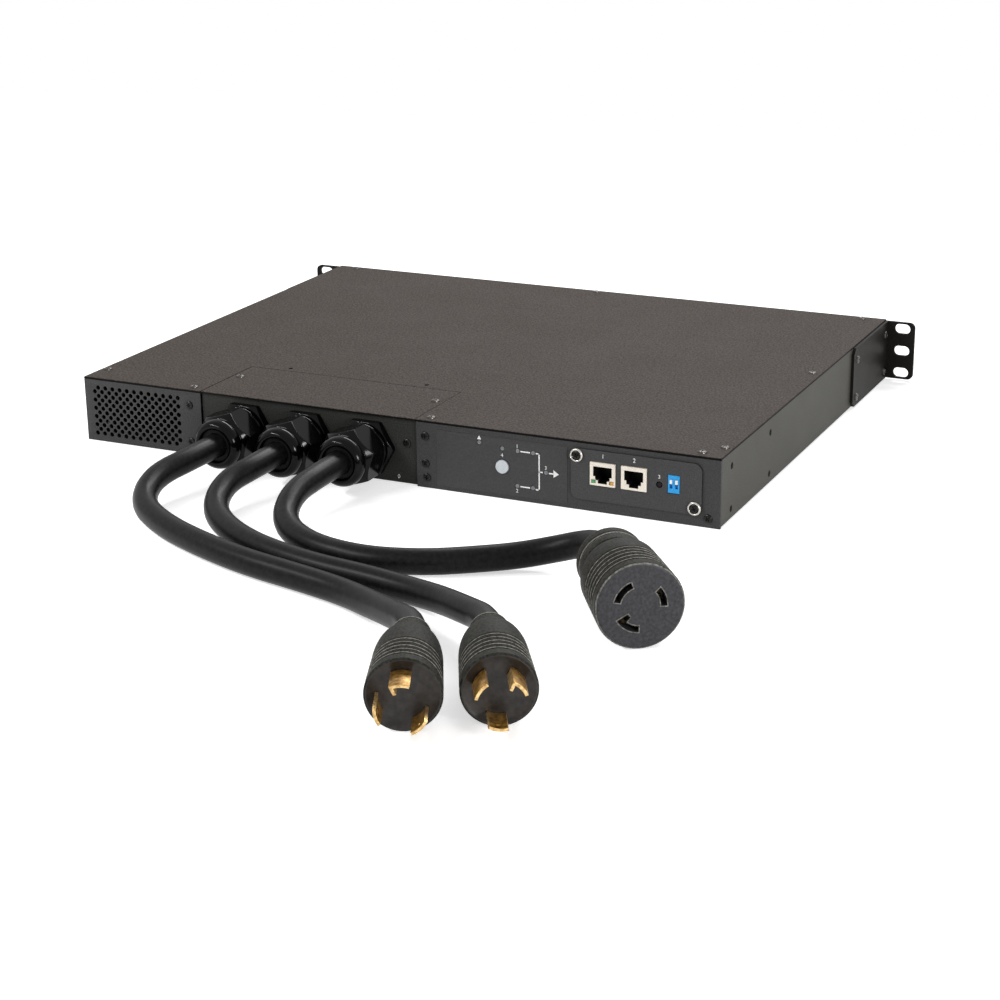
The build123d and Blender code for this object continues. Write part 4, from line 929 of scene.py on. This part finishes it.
# Bars are left, right, low and high; the two arrow heads are triangles
BARS = [(93.8, 100.0, 30.9, 31.7), (103.8, 106.3, 30.9, 31.7), (105.5, 106.3, 8.2, 31.7),
        (93.5, 99.9, 8.8, 9.6), (103.6, 106.3, 8.2, 9.0), (105.5, 108.2, 19.6, 20.4),
        (112.2, 115.4, 19.6, 20.4)]
ARROWS = [[(115.2, 17.6), (118.7, 20.0), (115.2, 22.4)], [(65.2, 35.6), (67.8, 35.6), (66.5, 38.0)]]
strokes = [rectangle_points(*sides) for sides in BARS] + [np.array(corners) for corners in ARROWS]


def number_mesh(text, size):
    """A number in the plain built-in letter shapes, as a flat mesh centred on the origin."""
    curve = bpy.data.curves.new("number", "FONT")
    curve.body = text
    curve.size = size
    curve.align_x = "CENTER"
    curve.align_y = "CENTER"
    curve.extrude = INK / 2
    holder = bpy.data.objects.new("number", curve)
    mesh = bpy.data.meshes.new_from_object(holder)
    bpy.data.objects.remove(holder)
    return mesh


for index, loop in enumerate(strokes):
    mesh = plate_mesh([loop], INK, 0.0, f"mimic_line_{index}")
    add_piece(settle_mesh(mesh, looking((0, FILM_Y - INK, 0), CORD_SIDE)), [ink])

marks = [("1", 91.6, 34.2, FILM_Y, 3.2), ("2", 91.4, 6.2, FILM_Y, 3.2), ("3", 110.2, 23.0, FILM_Y, 3.2),
         ("4", 81.6, 27.4, FILM_Y, 3.2), ("1", 147.3, 35.2, CARD_Y, 3.6), ("2", 167.0, 35.2, CARD_Y, 3.6),
         ("3", 182.6, 27.4, CARD_Y, 3.2), ("0", 10.4, 4.1, WALL_Y, 3.6)]
for index, (text, x, z, y, size) in enumerate(marks):
    mesh = settle_mesh(number_mesh(text, size), looking((x, y - INK, z), CORD_SIDE))
    mesh.name = f"number_{index}"
    add_piece(mesh, [ink])
print("printed marks", len(strokes) + len(marks))

# %% [markdown]
# ## Floor, light and background
#
# The photograph is a cut-out on white. The floor is pale and catches a soft shadow; for rays from the camera
# it also glows a little, so it reads as white. Three softboxes and an even sky light the metal, and two
# narrow strips draw the bright lines on the glands.

# %% Stage
FLOOR_GLOW, SKY_LIGHT, SKY_SEEN = 0.6, 0.3, 1.0


def seen_rays(tree):
    """1 for rays from the camera, a mirror or a clear piece, and 0 for rays that only carry light."""
    path = node(tree, "ShaderNodeLightPath")
    seen = node(tree, "ShaderNodeMath", [("operation", "MAXIMUM")],
                [(0, path.outputs["Is Camera Ray"]), (1, path.outputs["Is Glossy Ray"])])
    seen = node(tree, "ShaderNodeMath", [("operation", "MAXIMUM")],
                [(0, seen.outputs[0]), (1, path.outputs["Is Transmission Ray"])])
    return seen.outputs[0]


floor_mesh = bpy.data.meshes.new("floor")
floor_mesh.from_pydata([(-3, -2, 0), (3, -2, 0), (3, 1.1, 0), (-3, 1.1, 0)], [], [(0, 1, 2, 3)])
floor = bpy.data.objects.new("floor", floor_mesh)
bpy.context.scene.collection.objects.link(floor)
floor.location.z = -0.0002
pale, tree, shader, _ = new_finish("pale_floor")
shader.inputs["Base Color"].default_value = linear("#f2f2f2")
shader.inputs["Roughness"].default_value = 0.9
glow = node(tree, "ShaderNodeMath", [("operation", "MULTIPLY"), (1, FLOOR_GLOW)], [(0, seen_rays(tree))])
shine = node(tree, "ShaderNodeEmission", [], [("Strength", glow.outputs[0])])
total = node(tree, "ShaderNodeAddShader", [], [(0, shader.outputs[0]), (1, shine.outputs[0])])
tree.links.new(total.outputs[0], tree.nodes["Material Output"].inputs["Surface"])
floor_mesh.materials.append(pale)

# %% Lights
def softbox(name, at, towards, size, power):
    """A rectangular lamp that looks at a point."""
    lamp = bpy.data.objects.new(name, bpy.data.lights.new(name, "AREA"))
    lamp.data.shape = "RECTANGLE"
    lamp.data.size, lamp.data.size_y = size
    lamp.data.energy = power
    aim = Vector(towards) - Vector(at)
    lamp.matrix_world = Matrix.Translation(at) @ aim.to_track_quat("-Z", "Y").to_matrix().to_4x4()
    bpy.context.scene.collection.objects.link(lamp)


softbox("top_softbox", (0.05, 1.1, 1.2), (0, 0.05, 0), (1.3, 0.3), 17.0)
softbox("right_softbox", (1.35, -0.85, 0.32), (0.2, -0.2, 0.02), (0.4, 0.3), 8.0)
softbox("front_softbox", (-0.7, -1.3, 1.1), (0, -0.25, 0.02), (0.5, 0.3), 9.0)
softbox("left_strip", (-0.75, -0.7, 0.8), (0, -0.25, 0.02), (0.3, 0.05), 4.5)
softbox("right_strip", (0.95, -0.75, 0.3), (0, -0.2, 0.02), (0.05, 0.2), 1.5)

world = bpy.data.worlds.new("studio")
bpy.context.scene.world = world
world.use_nodes = True
tree = world.node_tree
sky = tree.nodes["Background"]
sky.inputs["Color"].default_value = (1, 1, 1, 1)
level = node(tree, "ShaderNodeMapRange", [(3, SKY_LIGHT), (4, SKY_SEEN)], [(0, seen_rays(tree))])
tree.links.new(level.outputs[0], sky.inputs["Strength"])
bpy.context.scene.view_settings.view_transform = "Standard"
print("stage and lights ready")
